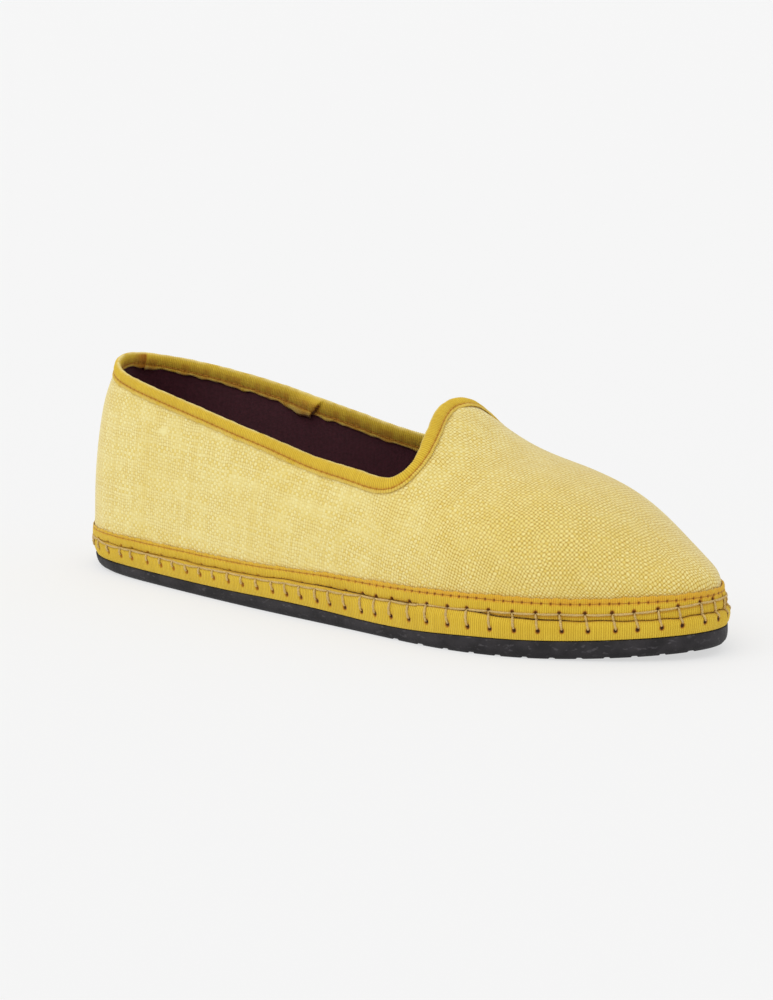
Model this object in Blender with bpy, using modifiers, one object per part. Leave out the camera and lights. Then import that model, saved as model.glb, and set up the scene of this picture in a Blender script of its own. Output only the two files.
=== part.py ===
"""Slip-on flat shoe, right foot: linen upper, taped edges, tape-wrapped midsole and thin rubber outsole.

Metres. The toe points along +X, the inner side of the foot along +Y, and the floor is Z = 0.
A place on the shoe is given by its turn round the outline (0 at the heel, pi at the toe, the outer side
first) and by its rise over the last (0 at the sole edge, 1 on the ridge line over the foot).
"""
import math
from collections import namedtuple

import bmesh
import bpy
import numpy as np

# Driving dimensions
LENGTH = 0.2516
BALL_WIDTH = 0.091
HEEL_HEIGHT = 0.0729
INSTEP_HEIGHT = 0.0725
TOE_SPRING = 0.003
TOE_SPRING_START = 0.78

# Sole stack
RUBBER = 0.0050
SEAM_HEIGHT = 0.0123
INSOLE_THICKNESS = 0.0025

# Upper, tapes and clearances
WALL = 0.0020
GAP = 0.0003
TAPE_THICKNESS = 0.0010
UPPER_INSET = 0.0030
HEEL_FLUSH = 0.0002
BINDING_THICKNESS = 0.0008
BINDING_OUTSIDE = 0.0046
BINDING_MIDDLE = 0.5 * BINDING_OUTSIDE
BINDING_INSIDE = 0.0043

# The last: plan, ridge, lean of the walls and collar line
Plan = namedtuple("Plan", "along half_width drift")
Ridge = namedtuple("Ridge", "along height")
Lean = namedtuple("Lean", "along power")
Collar = namedtuple("Collar", "along height")
TapeTop = namedtuple("TapeTop", "along height")
Ring = namedtuple("Ring", "height inset heel_inset front_rise")

# Half width and sideways drift as shares of half the ball width, along as a share of the length
PLAN = (
    Plan(0.000, 0.000, 0.000),
    Plan(0.068, 0.515, -0.005),
    Plan(0.180, 0.622, -0.030),
    Plan(0.380, 0.730, -0.080),
    Plan(0.580, 0.908, -0.022),
    Plan(0.700, 1.000, 0.013),
    Plan(0.820, 0.880, 0.030),
    Plan(0.920, 0.598, 0.066),
    Plan(1.000, 0.000, 0.088),
)

# Height of the ridge as a share of the instep height; behind the throat it is where the walls would meet
RIDGE = (
    Ridge(0.00, 1.545),
    Ridge(0.26, 1.545),
    Ridge(0.46, 1.090),
    Ridge(0.58, 1.000),
    Ridge(0.66, 0.833),
    Ridge(0.74, 0.748),
    Ridge(0.84, 0.648),
    Ridge(0.92, 0.492),
    Ridge(1.00, 0.405),
)

# A power of FULLNESS gives upright walls; a lower one leans them in
FULLNESS = 2.3
LEAN = (
    Lean(0.00, 1.05),
    Lean(0.18, 1.55),
    Lean(0.42, 1.65),
    Lean(0.58, 2.00),
    Lean(0.74, FULLNESS),
    Lean(1.00, FULLNESS),
)

# Collar line from the heel to the throat's front, then up to the peak on the ridge
COLLAR = (
    Collar(0.000, HEEL_HEIGHT),
    Collar(0.200, 0.0651),
    Collar(0.420, 0.0546),
    Collar(0.530, 0.0502),
    Collar(0.600, 0.0500),
    Collar(0.618, 0.0590),
)
PEAK_ALONG = 0.594
INNER_THROAT_SETBACK = 0.0030

# The ridge stops short of the toe, where the walls close round its end
RIDGE_REACH = 0.098
RIDGE_POWER = 5.0

# Top of the tape round the upper's foot
TAPE_TOP = (
    TapeTop(0.00, 0.0140),
    TapeTop(0.50, 0.0167),
    TapeTop(0.86, 0.0191),
    TapeTop(1.00, 0.0184),
)

# The rubber thickens between these places, from the instep to the ball
FRONT_START = -0.020
FRONT_END = 0.060

# Edge profiles from the bottom up: height above the floor, inset from the outline, extra inset at the heel
# and extra height under the ball and toe
OUTSOLE_RINGS = (
    Ring(0.0, 0.0026, 0.0034, 0.0),
    Ring(0.0011, 0.0017, 0.0029, 0.0),
    Ring(0.0028, 0.0011, 0.0025, 0.0004),
    Ring(RUBBER, 0.0008, 0.0022, 0.0008),
)
MIDSOLE_RINGS = (
    Ring(RUBBER + GAP, 0.0008, 0.0022, 0.0008),
    Ring(0.0066, 0.0003, 0.0020, 0.0004),
    Ring(0.0088, 0.0, 0.0020, 0.0),
    Ring(0.0109, 0.0003, 0.0020, 0.0),
    Ring(SEAM_HEIGHT - GAP, 0.0012, 0.0017, 0.0),
)
INSOLE_INSET = UPPER_INSET + WALL + 2.0 * GAP
INSOLE_RINGS = (
    Ring(SEAM_HEIGHT, INSOLE_INSET + GAP, -HEEL_FLUSH, 0.0),
    Ring(SEAM_HEIGHT + INSOLE_THICKNESS, INSOLE_INSET, -HEEL_FLUSH, 0.0),
)

# Mesh columns on each side: from the heel, round the throat corner to the peak, and on to the toe.
# Each fan ends at a share of the collar's length and, below it, at a share of the outline's length.
Fan = namedtuple("Fan", "columns collar_share foot_along")
SIDE_FAN = Fan(26, 0.72, 0.56)
THROAT_FAN = Fan(15, 1.00, 0.86)
VAMP_COLUMNS = 11
WALL_ROWS = 8
COLUMN_REACH = 0.011
TOE_CLOSING = 0.03
PEAK_SPREAD = 7
PEAK_REACH = 0.25

# Fineness of slopes, welding, curve sampling, height searches and smooth shading
FINE = 1.0e-4
WELD = 1.0e-6
SAMPLES = 800
HALVINGS = 40
SHARP_ANGLE = math.radians(50.0)

HALF_LENGTH = 0.5 * LENGTH
HALF_WIDTH = 0.5 * BALL_WIDTH
COLLAR_COLUMNS = SIDE_FAN.columns + THROAT_FAN.columns

# Colours: base colour, roughness
LINEN = ((0.76, 0.61, 0.22), 0.9)
TAPE = ((0.58, 0.36, 0.04), 0.8)
PLUM = ((0.045, 0.010, 0.016), 0.9)
CHARCOAL = ((0.045, 0.045, 0.050), 0.7)


def x_at(along):
    return (np.asarray(along) - 0.5) * LENGTH


def spline(knots, values, start_slope=None, end_slope=None):
    """Cubic spline through the knots; an end without a slope is left free of bending."""
    knots = np.asarray(knots, float)
    values = np.asarray(values, float)
    span = np.diff(knots)
    chord = np.diff(values) / span
    count = len(knots)
    matrix = np.zeros((count, count))
    right = np.zeros(count)
    for i in range(1, count - 1):
        matrix[i, i - 1] = span[i]
        matrix[i, i] = 2.0 * (span[i - 1] + span[i])
        matrix[i, i + 1] = span[i - 1]
        right[i] = 3.0 * (span[i] * chord[i - 1] + span[i - 1] * chord[i])
    matrix[0, 0] = 1.0 if start_slope is not None else 2.0
    matrix[0, 1] = 0.0 if start_slope is not None else 1.0
    right[0] = start_slope if start_slope is not None else 3.0 * chord[0]
    matrix[-1, -1] = 1.0 if end_slope is not None else 2.0
    matrix[-1, -2] = 0.0 if end_slope is not None else 1.0
    right[-1] = end_slope if end_slope is not None else 3.0 * chord[-1]
    slope = np.linalg.solve(matrix, right)

    def value(at):
        at = np.asarray(at, float)
        i = np.clip(np.searchsorted(knots, at) - 1, 0, count - 2)
        u = (at - knots[i]) / span[i]
        start = values[i] * (1.0 + 2.0 * u) * (1.0 - u) ** 2 + slope[i] * span[i] * u * (1.0 - u) ** 2
        end = values[i + 1] * u ** 2 * (3.0 - 2.0 * u) - slope[i + 1] * span[i] * u ** 2 * (1.0 - u)
        return start + end

    return value


def turn_at(x):
    """Turn of the outer side's outline point at x."""
    return np.arccos(np.clip(-np.asarray(x) / HALF_LENGTH, -1.0, 1.0))


half_width_at_turn = spline(
    [turn_at(x_at(row.along)) for row in PLAN], [row.half_width * HALF_WIDTH for row in PLAN]
)
drift_at = spline([x_at(row.along) for row in PLAN], [row.drift * HALF_WIDTH for row in PLAN])
ridge_height_at = spline([x_at(row.along) for row in RIDGE], [row.height * INSTEP_HEIGHT for row in RIDGE])
lean_at = spline([x_at(row.along) for row in LEAN], [row.power for row in LEAN])
tape_top_at = spline([x_at(row.along) for row in TAPE_TOP], [row.height for row in TAPE_TOP])


def centred_outline(turn, centre):
    """Widest outline of the shoe, drawn about the line y = centre."""
    turn = np.mod(turn, 2.0 * math.pi)
    inner = turn > math.pi
    half_turn = np.where(inner, 2.0 * math.pi - turn, turn)
    x = -HALF_LENGTH * np.cos(half_turn)
    width = half_width_at_turn(half_turn)
    y = drift_at(x) + np.where(inner, width, -width) - centre
    return np.stack([x, y], axis=-1)


whole_outline = centred_outline(np.linspace(0.0, 2.0 * math.pi, SAMPLES), 0.0)
CENTRE = 0.5 * (whole_outline[:, 1].max() + whole_outline[:, 1].min())


def outline(turn, inset=0.0):
    """Outline points moved in by the inset."""
    point = centred_outline(turn, CENTRE)
    ahead = centred_outline(turn + FINE, CENTRE) - centred_outline(turn - FINE, CENTRE)
    ahead /= np.linalg.norm(ahead, axis=-1, keepdims=True)
    inward = np.stack([-ahead[..., 1], ahead[..., 0]], axis=-1)
    return point + inward * np.asarray(inset)[..., None]


def toe_lift(x):
    """Lift of the sole towards the toe tip."""
    start = x_at(TOE_SPRING_START)
    return TOE_SPRING * (np.clip(x - start, 0.0, None) / (HALF_LENGTH - start)) ** 2


def front_share(x):
    """0 behind the instep, rising to 1 from the ball forward."""
    share = np.clip((x - FRONT_START) / (FRONT_END - FRONT_START), 0.0, 1.0)
    return share * share * (3.0 - 2.0 * share)


def level(turn, inset, height):
    """Points of the outline at one height of the sole stack."""
    flat = outline(turn, inset)
    z = toe_lift(flat[..., 0]) + height
    return np.concatenate([flat, z[..., None]], axis=-1)


def ridge_x(turn):
    """Where a column from the outline meets the ridge."""
    x = -HALF_LENGTH * np.cos(turn)
    return x / (1.0 + np.abs(x / RIDGE_REACH) ** RIDGE_POWER) ** (1.0 / RIDGE_POWER)


def heel_share(turn):
    """1 at the back of the heel, falling to 0 along the sides."""
    return np.clip(np.cos(turn), 0.0, 1.0) ** 4


def upper_inset(turn):
    """Inset of the upper's foot, less at the heel, where it stands nearly flush with the sole."""
    return UPPER_INSET - HEEL_FLUSH * heel_share(turn)


def last_point(turn, rise):
    """Outer face of the upper."""
    turn, rise = np.broadcast_arrays(np.asarray(turn, float), np.asarray(rise, float))
    foot = outline(turn, upper_inset(turn))
    foot_z = toe_lift(foot[..., 0]) + tape_top_at(foot[..., 0])
    top_x = ridge_x(turn)
    angle = 0.5 * math.pi * rise
    across = np.clip(np.cos(angle), 0.0, 1.0) ** FULLNESS
    upward = np.clip(np.sin(angle), 0.0, 1.0) ** FULLNESS
    share = across / (across + upward)
    out = share ** (1.0 / lean_at(foot[..., 0]))
    x = top_x + (foot[..., 0] - top_x) * out
    ridge_y = drift_at(top_x) - CENTRE
    y = ridge_y + (foot[..., 1] - ridge_y) * out
    z = foot_z + (ridge_height_at(x) - foot_z) * (1.0 - share) ** (1.0 / FULLNESS)
    return np.stack([x, y, z], axis=-1)


def slopes(turn, rise):
    """Directions of growing turn and of growing rise on the outer face."""
    low = np.clip(rise - FINE, 0.0, 1.0)
    high = np.clip(rise + FINE, 0.0, 1.0)
    round_way = last_point(turn + FINE, rise) - last_point(turn - FINE, rise)
    up_way = last_point(turn, high) - last_point(turn, low)
    return round_way / (2.0 * FINE), up_way / (high - low)[..., None]


def outward(turn, rise):
    round_way, up_way = slopes(turn, np.minimum(rise, 1.0 - 2.0 * FINE))
    normal = np.cross(round_way, up_way)
    return normal / np.linalg.norm(normal, axis=-1, keepdims=True)


def distance_along(points):
    """Distance travelled from the first point to each point of a path."""
    steps = np.linalg.norm(np.diff(points, axis=0), axis=1)
    return np.concatenate([[0.0], np.cumsum(steps)])


def rise_for_height(turn, height):
    """Rise at which a column reaches a height."""
    low, high = 0.0, 1.0
    for _ in range(HALVINGS):
        middle = 0.5 * (low + high)
        if last_point(turn, middle)[2] < height:
            low = middle
        else:
            high = middle
    return low


def collar_side(setback):
    """Turn and rise of each column along one side of the collar, from the heel to the peak."""
    along_x = [x_at(row.along) for row in COLLAR]
    heights = [row.height for row in COLLAR]
    front = len(COLLAR) - 2
    along_x = [x - setback if i >= front else x for i, x in enumerate(along_x)]
    turns = [float(turn_at(x)) for x in along_x]
    rises = [rise_for_height(turn, height) for turn, height in zip(turns, heights)]
    turns.append(float(turn_at(x_at(PEAK_ALONG))))
    rises.append(1.0)
    travel = distance_along(last_point(turns, rises))
    turn_of = spline(travel, turns, end_slope=0.0)
    rise_of = spline(travel, rises, start_slope=0.0)
    fine = np.linspace(0.0, travel[-1], SAMPLES)
    points = last_point(turn_of(fine), np.clip(rise_of(fine), 0.0, 1.0))
    length = distance_along(points)
    side = np.linspace(0.0, SIDE_FAN.collar_share, SIDE_FAN.columns + 1)
    throat = np.linspace(SIDE_FAN.collar_share, THROAT_FAN.collar_share, THROAT_FAN.columns + 1)
    even = np.interp(np.concatenate([side, throat[1:]]) * length[-1], length, fine)
    rise = np.clip(rise_of(even), 0.0, 1.0)
    rise[-1] = 1.0
    turn = turn_of(even)
    turn[0] = 0.0
    turn[-1] = turn_at(x_at(PEAK_ALONG))
    return turn, rise


def collar_loop():
    """Turn and rise round the whole collar: outer side to the peak, inner side back to the heel."""
    outer_turn, outer_rise = collar_side(0.0)
    inner_turn, inner_rise = collar_side(INNER_THROAT_SETBACK)
    turn = np.concatenate([outer_turn, (2.0 * math.pi - inner_turn[::-1])[1:-1]])
    rise = np.concatenate([outer_rise, inner_rise[::-1][1:-1]])
    return turn, rise


def collar_rows(depths):
    """The collar and the lines that run below it at the given depths over the outer face."""
    turn, rise = collar_loop()
    edge = last_point(turn, rise)
    tangent = np.roll(edge, -1, axis=0) - np.roll(edge, 1, axis=0)
    down = np.cross(tangent, outward(turn, rise))
    down /= np.linalg.norm(down, axis=1, keepdims=True)
    rows = [(turn, rise)]
    reached = 0.0
    for depth in depths:
        round_way, up_way = slopes(turn, np.minimum(rise, 1.0 - 2.0 * FINE))
        aa = (round_way * round_way).sum(axis=1)
        ab = (round_way * up_way).sum(axis=1)
        bb = (up_way * up_way).sum(axis=1)
        step = down * (depth - reached)
        ra = (round_way * step).sum(axis=1)
        rb = (up_way * step).sum(axis=1)
        room = aa * bb - ab * ab
        turn = turn + (ra * bb - rb * ab) / room
        rise = np.clip(rise + (rb * aa - ra * ab) / room, 0.0, 1.0)
        turn[0] = 0.0
        rise[COLLAR_COLUMNS] = 1.0
        rows.append((turn, rise))
        reached = depth
    return rows, down


def even_turns(start, end, count):
    """Turns that share a stretch of the outline evenly."""
    fine = np.linspace(start, end, SAMPLES)
    length = distance_along(outline(fine))
    return np.interp(np.linspace(0.0, length[-1], count + 1), length, fine)


def foot_turns():
    """Turn of each column at the sole edge, round the whole outline."""
    waist = float(turn_at(x_at(SIDE_FAN.foot_along)))
    ball = float(turn_at(x_at(THROAT_FAN.foot_along)))
    side = even_turns(0.0, waist, SIDE_FAN.columns)
    throat = even_turns(waist, ball, THROAT_FAN.columns)
    vamp = even_turns(ball, math.pi, VAMP_COLUMNS)
    turns = np.concatenate([side, throat[1:], vamp[1:]])
    return np.concatenate([turns, (2.0 * math.pi - turns[::-1])[1:-1]])


def stretch_across(turn, rise):
    """Metres covered by a unit of turn and by a unit of rise."""
    round_way, up_way = slopes(turn, np.minimum(rise, 1.0 - 2.0 * FINE))
    return np.linalg.norm(round_way, axis=-1), np.linalg.norm(up_way, axis=-1)


def column_side(upper_row, lower_row, foot):
    """Control places of one side's columns: at the sole edge, on the way, and at the top.

    Columns leave the collar square to it, turn with it at the peak and drop straight from the ridge.
    """
    count = COLLAR_COLUMNS + VAMP_COLUMNS + 1
    fine = np.linspace(lower_row[0][-1], math.pi, SAMPLES)
    measure = ridge_x(fine) + TOE_CLOSING * fine
    ridge_turn = np.interp(np.linspace(measure[0], measure[-1], VAMP_COLUMNS + 1), measure, fine)[1:]
    top = np.ones((count, 2))
    top[:, 0] = np.concatenate([lower_row[0], ridge_turn])
    top[:COLLAR_COLUMNS + 1, 1] = lower_row[1]
    turn_size, rise_size = stretch_across(top[:, 0], top[:, 1])
    away = np.zeros((count, 2))
    away[:, 0] = 1.0 / turn_size
    drop = (np.array(lower_row) - np.array(upper_row)).T[:COLLAR_COLUMNS]
    away[:COLLAR_COLUMNS] = drop / BINDING_MIDDLE
    down = np.zeros((count, 2))
    down[:, 1] = -1.0 / rise_size
    past_peak = (np.arange(count) - COLLAR_COLUMNS)[:, None] / PEAK_SPREAD
    turning = np.clip(0.5 - 0.5 * past_peak, 0.0, 1.0)
    reach = COLUMN_REACH * np.clip(np.abs(past_peak), PEAK_REACH, 1.0)
    way = top + reach * (turning * away + (1.0 - turning) * down)
    base = np.stack([foot, np.zeros(count)], axis=-1)
    return base, way, top


def outer_side(row):
    """Turn and rise along the outer side of a collar row, from heel to peak."""
    return [values[:COLLAR_COLUMNS + 1] for values in row]


def inner_side(row):
    """The same along the inner side, told as if it were the outer side."""
    turn, rise = row
    turn = np.concatenate([turn[:1], 2.0 * math.pi - turn[:COLLAR_COLUMNS:-1], turn[[COLLAR_COLUMNS]]])
    rise = np.concatenate([rise[:1], rise[:COLLAR_COLUMNS:-1], rise[[COLLAR_COLUMNS]]])
    return turn, rise


def column_places(rows):
    """Control places of every column round the shoe."""
    foot = foot_turns()[:COLLAR_COLUMNS + VAMP_COLUMNS + 1]
    outer = column_side(outer_side(rows[1]), outer_side(rows[2]), foot)
    inner = column_side(inner_side(rows[1]), inner_side(rows[2]), foot)
    places = []
    for one, other in zip(outer, inner):
        other = other[::-1].copy()
        other[:, 0] = 2.0 * math.pi - other[:, 0]
        places.append(np.concatenate([one, other[1:-1]]))
    return places


def add_loft(mesh, rings):
    """Closed rings of points, joined ring to ring with quads that face outward when the rings rise.

    A quad's first corner sets where it splits, so both sides of the shoe split towards the toe.
    """
    loops = [[mesh.verts.new(point) for point in ring] for ring in rings]
    for lower, upper in zip(loops, loops[1:]):
        count = len(lower)
        for i in range(count):
            k = (i + 1) % count
            if 2 * i < count:
                mesh.faces.new((lower[i], lower[k], upper[k], upper[i]))
            else:
                mesh.faces.new((lower[k], upper[k], upper[i], lower[i]))
    return loops


def add_cap(mesh, loop, facing_up):
    """Rungs of quads across a ring, each joining points at one distance from the heel."""
    count = len(loop)
    for i in range(count // 2):
        corners = [loop[i], loop[i + 1], loop[(count - i - 1) % count], loop[(count - i) % count]]
        corners = list(dict.fromkeys(corners))
        mesh.faces.new(corners if facing_up else corners[::-1])


def material(name, finish):
    colour, roughness = finish
    result = bpy.data.materials.new(name)
    result.use_nodes = True
    shader = result.node_tree.nodes["Principled BSDF"]
    shader.inputs["Base Color"].default_value = (*colour, 1.0)
    shader.inputs["Roughness"].default_value = roughness
    shader.inputs["Metallic"].default_value = 0.0
    return result


def finish_object(name, mesh, collection, look):
    data = bpy.data.meshes.new(name)
    mesh.to_mesh(data)
    mesh.free()
    data.shade_smooth()
    data.set_sharp_from_angle(angle=SHARP_ANGLE)
    data.materials.append(look)
    result = bpy.data.objects.new(name, data)
    collection.objects.link(result)
    return result


def thicken(target, thickness, outward_share):
    """Gives an open surface its wall: outward_share 1 builds it outward, -1 inward."""
    shell = target.modifiers.new("wall", "SOLIDIFY")
    shell.thickness = thickness
    shell.offset = outward_share
    shell.use_even_offset = True
    shell.use_quality_normals = True


def slab(name, rings, collection, look):
    """A layer of the sole: its edge profile lofted round the outline and closed above and below."""
    turn = foot_turns()
    mesh = bmesh.new()
    heel, front = heel_share(turn), front_share(outline(turn)[:, 0])
    points = [
        level(turn, ring.inset + ring.heel_inset * heel, ring.height + ring.front_rise * front) for ring in rings
    ]
    loops = add_loft(mesh, points)
    add_cap(mesh, loops[0], False)
    add_cap(mesh, loops[-1], True)
    finish_object(name, mesh, collection, look)


def build_upper(collection, look):
    rows, _ = collar_rows((BINDING_MIDDLE, BINDING_OUTSIDE))
    foot, way, top = column_places(rows)
    rings = [level(foot[:, 0], upper_inset(foot[:, 0]), SEAM_HEIGHT)]
    for u in np.linspace(0.0, 1.0, WALL_ROWS + 1):
        place = (1.0 - u) ** 2 * foot + 2.0 * u * (1.0 - u) * way + u ** 2 * top
        rings.append(last_point(place[:, 0], place[:, 1]))
    mesh = bmesh.new()
    add_loft(mesh, rings)
    add_loft(mesh, [last_point(*row) for row in rows[::-1]])
    bmesh.ops.remove_doubles(mesh, verts=mesh.verts, dist=WELD)
    upper = finish_object("upper", mesh, collection, look)
    thicken(upper, WALL, -1.0)


def build_edge_tape(collection, look):
    turn = foot_turns()
    inset = upper_inset(turn) - GAP
    low = level(turn, inset, SEAM_HEIGHT)
    high = level(turn, inset, 0.0)
    high[:, 2] += tape_top_at(high[:, 0])
    mesh = bmesh.new()
    add_loft(mesh, [low, 0.5 * (low + high), high])
    tape = finish_object("edge_tape", mesh, collection, look)
    thicken(tape, TAPE_THICKNESS, 1.0)


def build_collar_binding(collection, look):
    rows, down = collar_rows((BINDING_MIDDLE, BINDING_INSIDE, BINDING_OUTSIDE))
    faces = [last_point(*row) for row in rows]
    normals = [outward(*row) for row in rows]
    inside = WALL + GAP
    over = faces[0] - down * GAP
    rings = [
        faces[3] + normals[3] * GAP,
        faces[1] + normals[1] * GAP,
        over + normals[0] * GAP,
        over - normals[0] * (0.5 * WALL) - down * GAP,
        over - normals[0] * inside,
        faces[1] - normals[1] * inside,
        faces[2] - normals[2] * inside,
    ]
    mesh = bmesh.new()
    add_loft(mesh, rings)
    binding = finish_object("collar_binding", mesh, collection, look)
    thicken(binding, BINDING_THICKNESS, 1.0)


def main():
    for old in list(bpy.data.objects):
        bpy.data.objects.remove(old, do_unlink=True)
    shoe = bpy.data.collections.new("slip_on_flat_shoe")
    bpy.context.scene.collection.children.link(shoe)
    linen = material("straw_linen", LINEN)
    tape = material("mustard_tape", TAPE)
    plum = material("plum_cloth", PLUM)
    rubber = material("charcoal_rubber", CHARCOAL)
    slab("outsole", OUTSOLE_RINGS, shoe, rubber)
    slab("midsole", MIDSOLE_RINGS, shoe, tape)
    slab("insole", INSOLE_RINGS, shoe, plum)
    build_upper(shoe, linen)
    build_edge_tape(shoe, tape)
    build_collar_binding(shoe, tape)


main()
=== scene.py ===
import math
from collections import namedtuple

import bmesh
import bpy
import numpy as np
from bpy.props import FloatProperty, FloatVectorProperty, PointerProperty
from mathutils import Matrix, Vector, noise


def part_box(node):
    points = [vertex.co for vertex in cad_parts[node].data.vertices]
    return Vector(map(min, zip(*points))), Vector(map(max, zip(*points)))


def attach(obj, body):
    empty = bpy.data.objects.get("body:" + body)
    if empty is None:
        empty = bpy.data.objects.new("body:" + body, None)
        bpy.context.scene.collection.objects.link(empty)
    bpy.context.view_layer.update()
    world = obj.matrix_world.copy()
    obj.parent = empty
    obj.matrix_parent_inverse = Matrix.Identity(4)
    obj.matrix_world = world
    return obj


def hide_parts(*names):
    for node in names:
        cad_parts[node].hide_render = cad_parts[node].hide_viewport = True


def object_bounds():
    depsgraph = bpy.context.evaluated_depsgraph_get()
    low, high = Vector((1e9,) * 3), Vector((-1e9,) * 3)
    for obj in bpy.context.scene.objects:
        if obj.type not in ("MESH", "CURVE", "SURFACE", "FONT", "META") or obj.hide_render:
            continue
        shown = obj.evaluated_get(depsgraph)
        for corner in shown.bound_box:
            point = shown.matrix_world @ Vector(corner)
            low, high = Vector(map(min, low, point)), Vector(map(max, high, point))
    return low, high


bl_info = {
    "name": "Linen slip-on shoe",
    "version": (1, 0, 0),
    "blender": (4, 5, 0),
    "location": "3D View > Sidebar > Shoe",
    "description": "Dresses the packed frame of a slip-on flat shoe in linen, ribbed tape, thread and rubber",
    "category": "Object",
}

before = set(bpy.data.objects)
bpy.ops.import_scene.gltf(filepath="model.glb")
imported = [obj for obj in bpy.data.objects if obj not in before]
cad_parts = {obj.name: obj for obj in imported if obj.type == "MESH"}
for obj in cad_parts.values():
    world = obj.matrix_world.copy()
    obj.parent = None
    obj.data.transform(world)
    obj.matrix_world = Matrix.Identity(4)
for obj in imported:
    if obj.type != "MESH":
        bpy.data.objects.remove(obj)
FRAME_LOW, FRAME_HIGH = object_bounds()

# Metres. The toe points along +X, the inner side of the foot along +Y, and the floor is Z = 0.
# A place on the shoe is given by its turn round the outline (0 at the heel, pi at the toe, the outer side
# first) and by its rise over the last (0 at the sole edge, 1 on the ridge line over the foot).

# Sizes read from the frame
HALF_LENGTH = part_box("midsole")[1].x
HALF_WIDTH = 0.5 * (FRAME_HIGH.y - FRAME_LOW.y)
HEEL_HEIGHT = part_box("upper")[1].z
SEAM_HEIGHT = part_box("upper")[0].z
MIDSOLE_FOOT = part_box("midsole")[0].z
GAP = 0.0003

# Sizes of the last and of its cloth
INSTEP_HEIGHT = 0.0725
TOE_SPRING = 0.003
TOE_SPRING_START = 0.78
UPPER_INSET = 0.0030
HEEL_FLUSH = 0.0002
CLOTH = 0.0006
LINING = 0.0005
TAPE_THICKNESS = 0.0010
RIDGE_REACH = 0.098
RIDGE_POWER = 5.0
FULLNESS = 2.3
PEAK_ALONG = 0.594
INNER_THROAT_SETBACK = 0.0030

Plan = namedtuple("Plan", "along half_width drift")
PLAN = (
    Plan(0.000, 0.000, 0.000),
    Plan(0.068, 0.515, -0.005),
    Plan(0.180, 0.622, -0.030),
    Plan(0.380, 0.730, -0.080),
    Plan(0.580, 0.908, -0.022),
    Plan(0.700, 1.000, 0.013),
    Plan(0.820, 0.880, 0.030),
    Plan(0.920, 0.598, 0.066),
    Plan(1.000, 0.000, 0.088),
)
Ridge = namedtuple("Ridge", "along height")
RIDGE = (
    Ridge(0.00, 1.545),
    Ridge(0.26, 1.545),
    Ridge(0.46, 1.090),
    Ridge(0.58, 1.000),
    Ridge(0.66, 0.833),
    Ridge(0.74, 0.748),
    Ridge(0.84, 0.648),
    Ridge(0.92, 0.492),
    Ridge(1.00, 0.405),
)
Lean = namedtuple("Lean", "along power")
LEAN = (
    Lean(0.00, 1.05),
    Lean(0.18, 1.55),
    Lean(0.42, 1.65),
    Lean(0.58, 2.00),
    Lean(0.74, FULLNESS),
    Lean(1.00, FULLNESS),
)
Collar = namedtuple("Collar", "along height")
COLLAR = (
    Collar(0.000, HEEL_HEIGHT),
    Collar(0.200, 0.0651),
    Collar(0.420, 0.0546),
    Collar(0.530, 0.0502),
    Collar(0.600, 0.0500),
    Collar(0.618, 0.0590),
)

# Top of the tape round the upper's foot
TapeTop = namedtuple("TapeTop", "along height")
TAPE_TOP = (
    TapeTop(0.00, 0.0140),
    TapeTop(0.50, 0.0167),
    TapeTop(0.86, 0.0191),
    TapeTop(1.00, 0.0184),
)

# Heights round the foot of the shoe: top of the rubber, seam between the tapes, top of the edge tape,
# and the hand stitches' upper and lower holes
Stack = namedtuple("Stack", "along rubber seam tape upper_hole lower_hole")
STACK = (
    Stack(0.00, 0.0041, 0.0104, 0.0142, 0.0104, 0.0079),
    Stack(0.16, 0.0041, 0.0106, 0.0145, 0.0101, 0.0079),
    Stack(0.34, 0.0042, 0.0109, 0.0149, 0.0102, 0.0079),
    Stack(0.42, 0.0046, 0.0117, 0.0156, 0.0108, 0.0079),
    Stack(0.50, 0.0045, 0.0123, 0.0167, 0.0115, 0.0078),
    Stack(0.58, 0.0040, 0.0124, 0.0174, 0.0122, 0.0076),
    Stack(0.66, 0.0043, 0.0129, 0.0182, 0.0130, 0.0083),
    Stack(0.74, 0.0053, 0.0134, 0.0190, 0.0138, 0.0090),
    Stack(0.80, 0.0056, 0.0129, 0.0193, 0.0141, 0.0092),
    Stack(0.87, 0.0057, 0.0122, 0.0190, 0.0142, 0.0095),
    Stack(0.94, 0.0057, 0.0116, 0.0190, 0.0142, 0.0093),
    Stack(1.00, 0.0056, 0.0114, 0.0186, 0.0153, 0.0095),
)

# How far apart the hand stitches stand along the shoe, against their mean distance
Spacing = namedtuple("Spacing", "along share")
HAND_SPACING = (
    Spacing(0.00, 1.07),
    Spacing(0.25, 1.00),
    Spacing(0.45, 0.96),
    Spacing(0.62, 1.00),
    Spacing(0.80, 1.17),
    Spacing(0.92, 1.12),
    Spacing(1.00, 1.00),
)

# Edge profiles of the two soles: share of the height, inset from the outline, extra inset at the heel
Ring = namedtuple("Ring", "share inset heel_inset")
RUBBER_RINGS = (
    Ring(0.00, 0.0013, 0.0060),
    Ring(0.22, 0.0008, 0.0049),
    Ring(0.56, 0.0005, 0.0040),
    Ring(1.00, 0.0006, 0.0033),
)
SOLE_TAPE_RINGS = (
    Ring(0.00, 0.0007, 0.0038),
    Ring(0.20, 0.0003, 0.0036),
    Ring(0.52, 0.0000, 0.0033),
    Ring(0.82, 0.0003, 0.0027),
    Ring(1.00, 0.0012, 0.0018),
)

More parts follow.
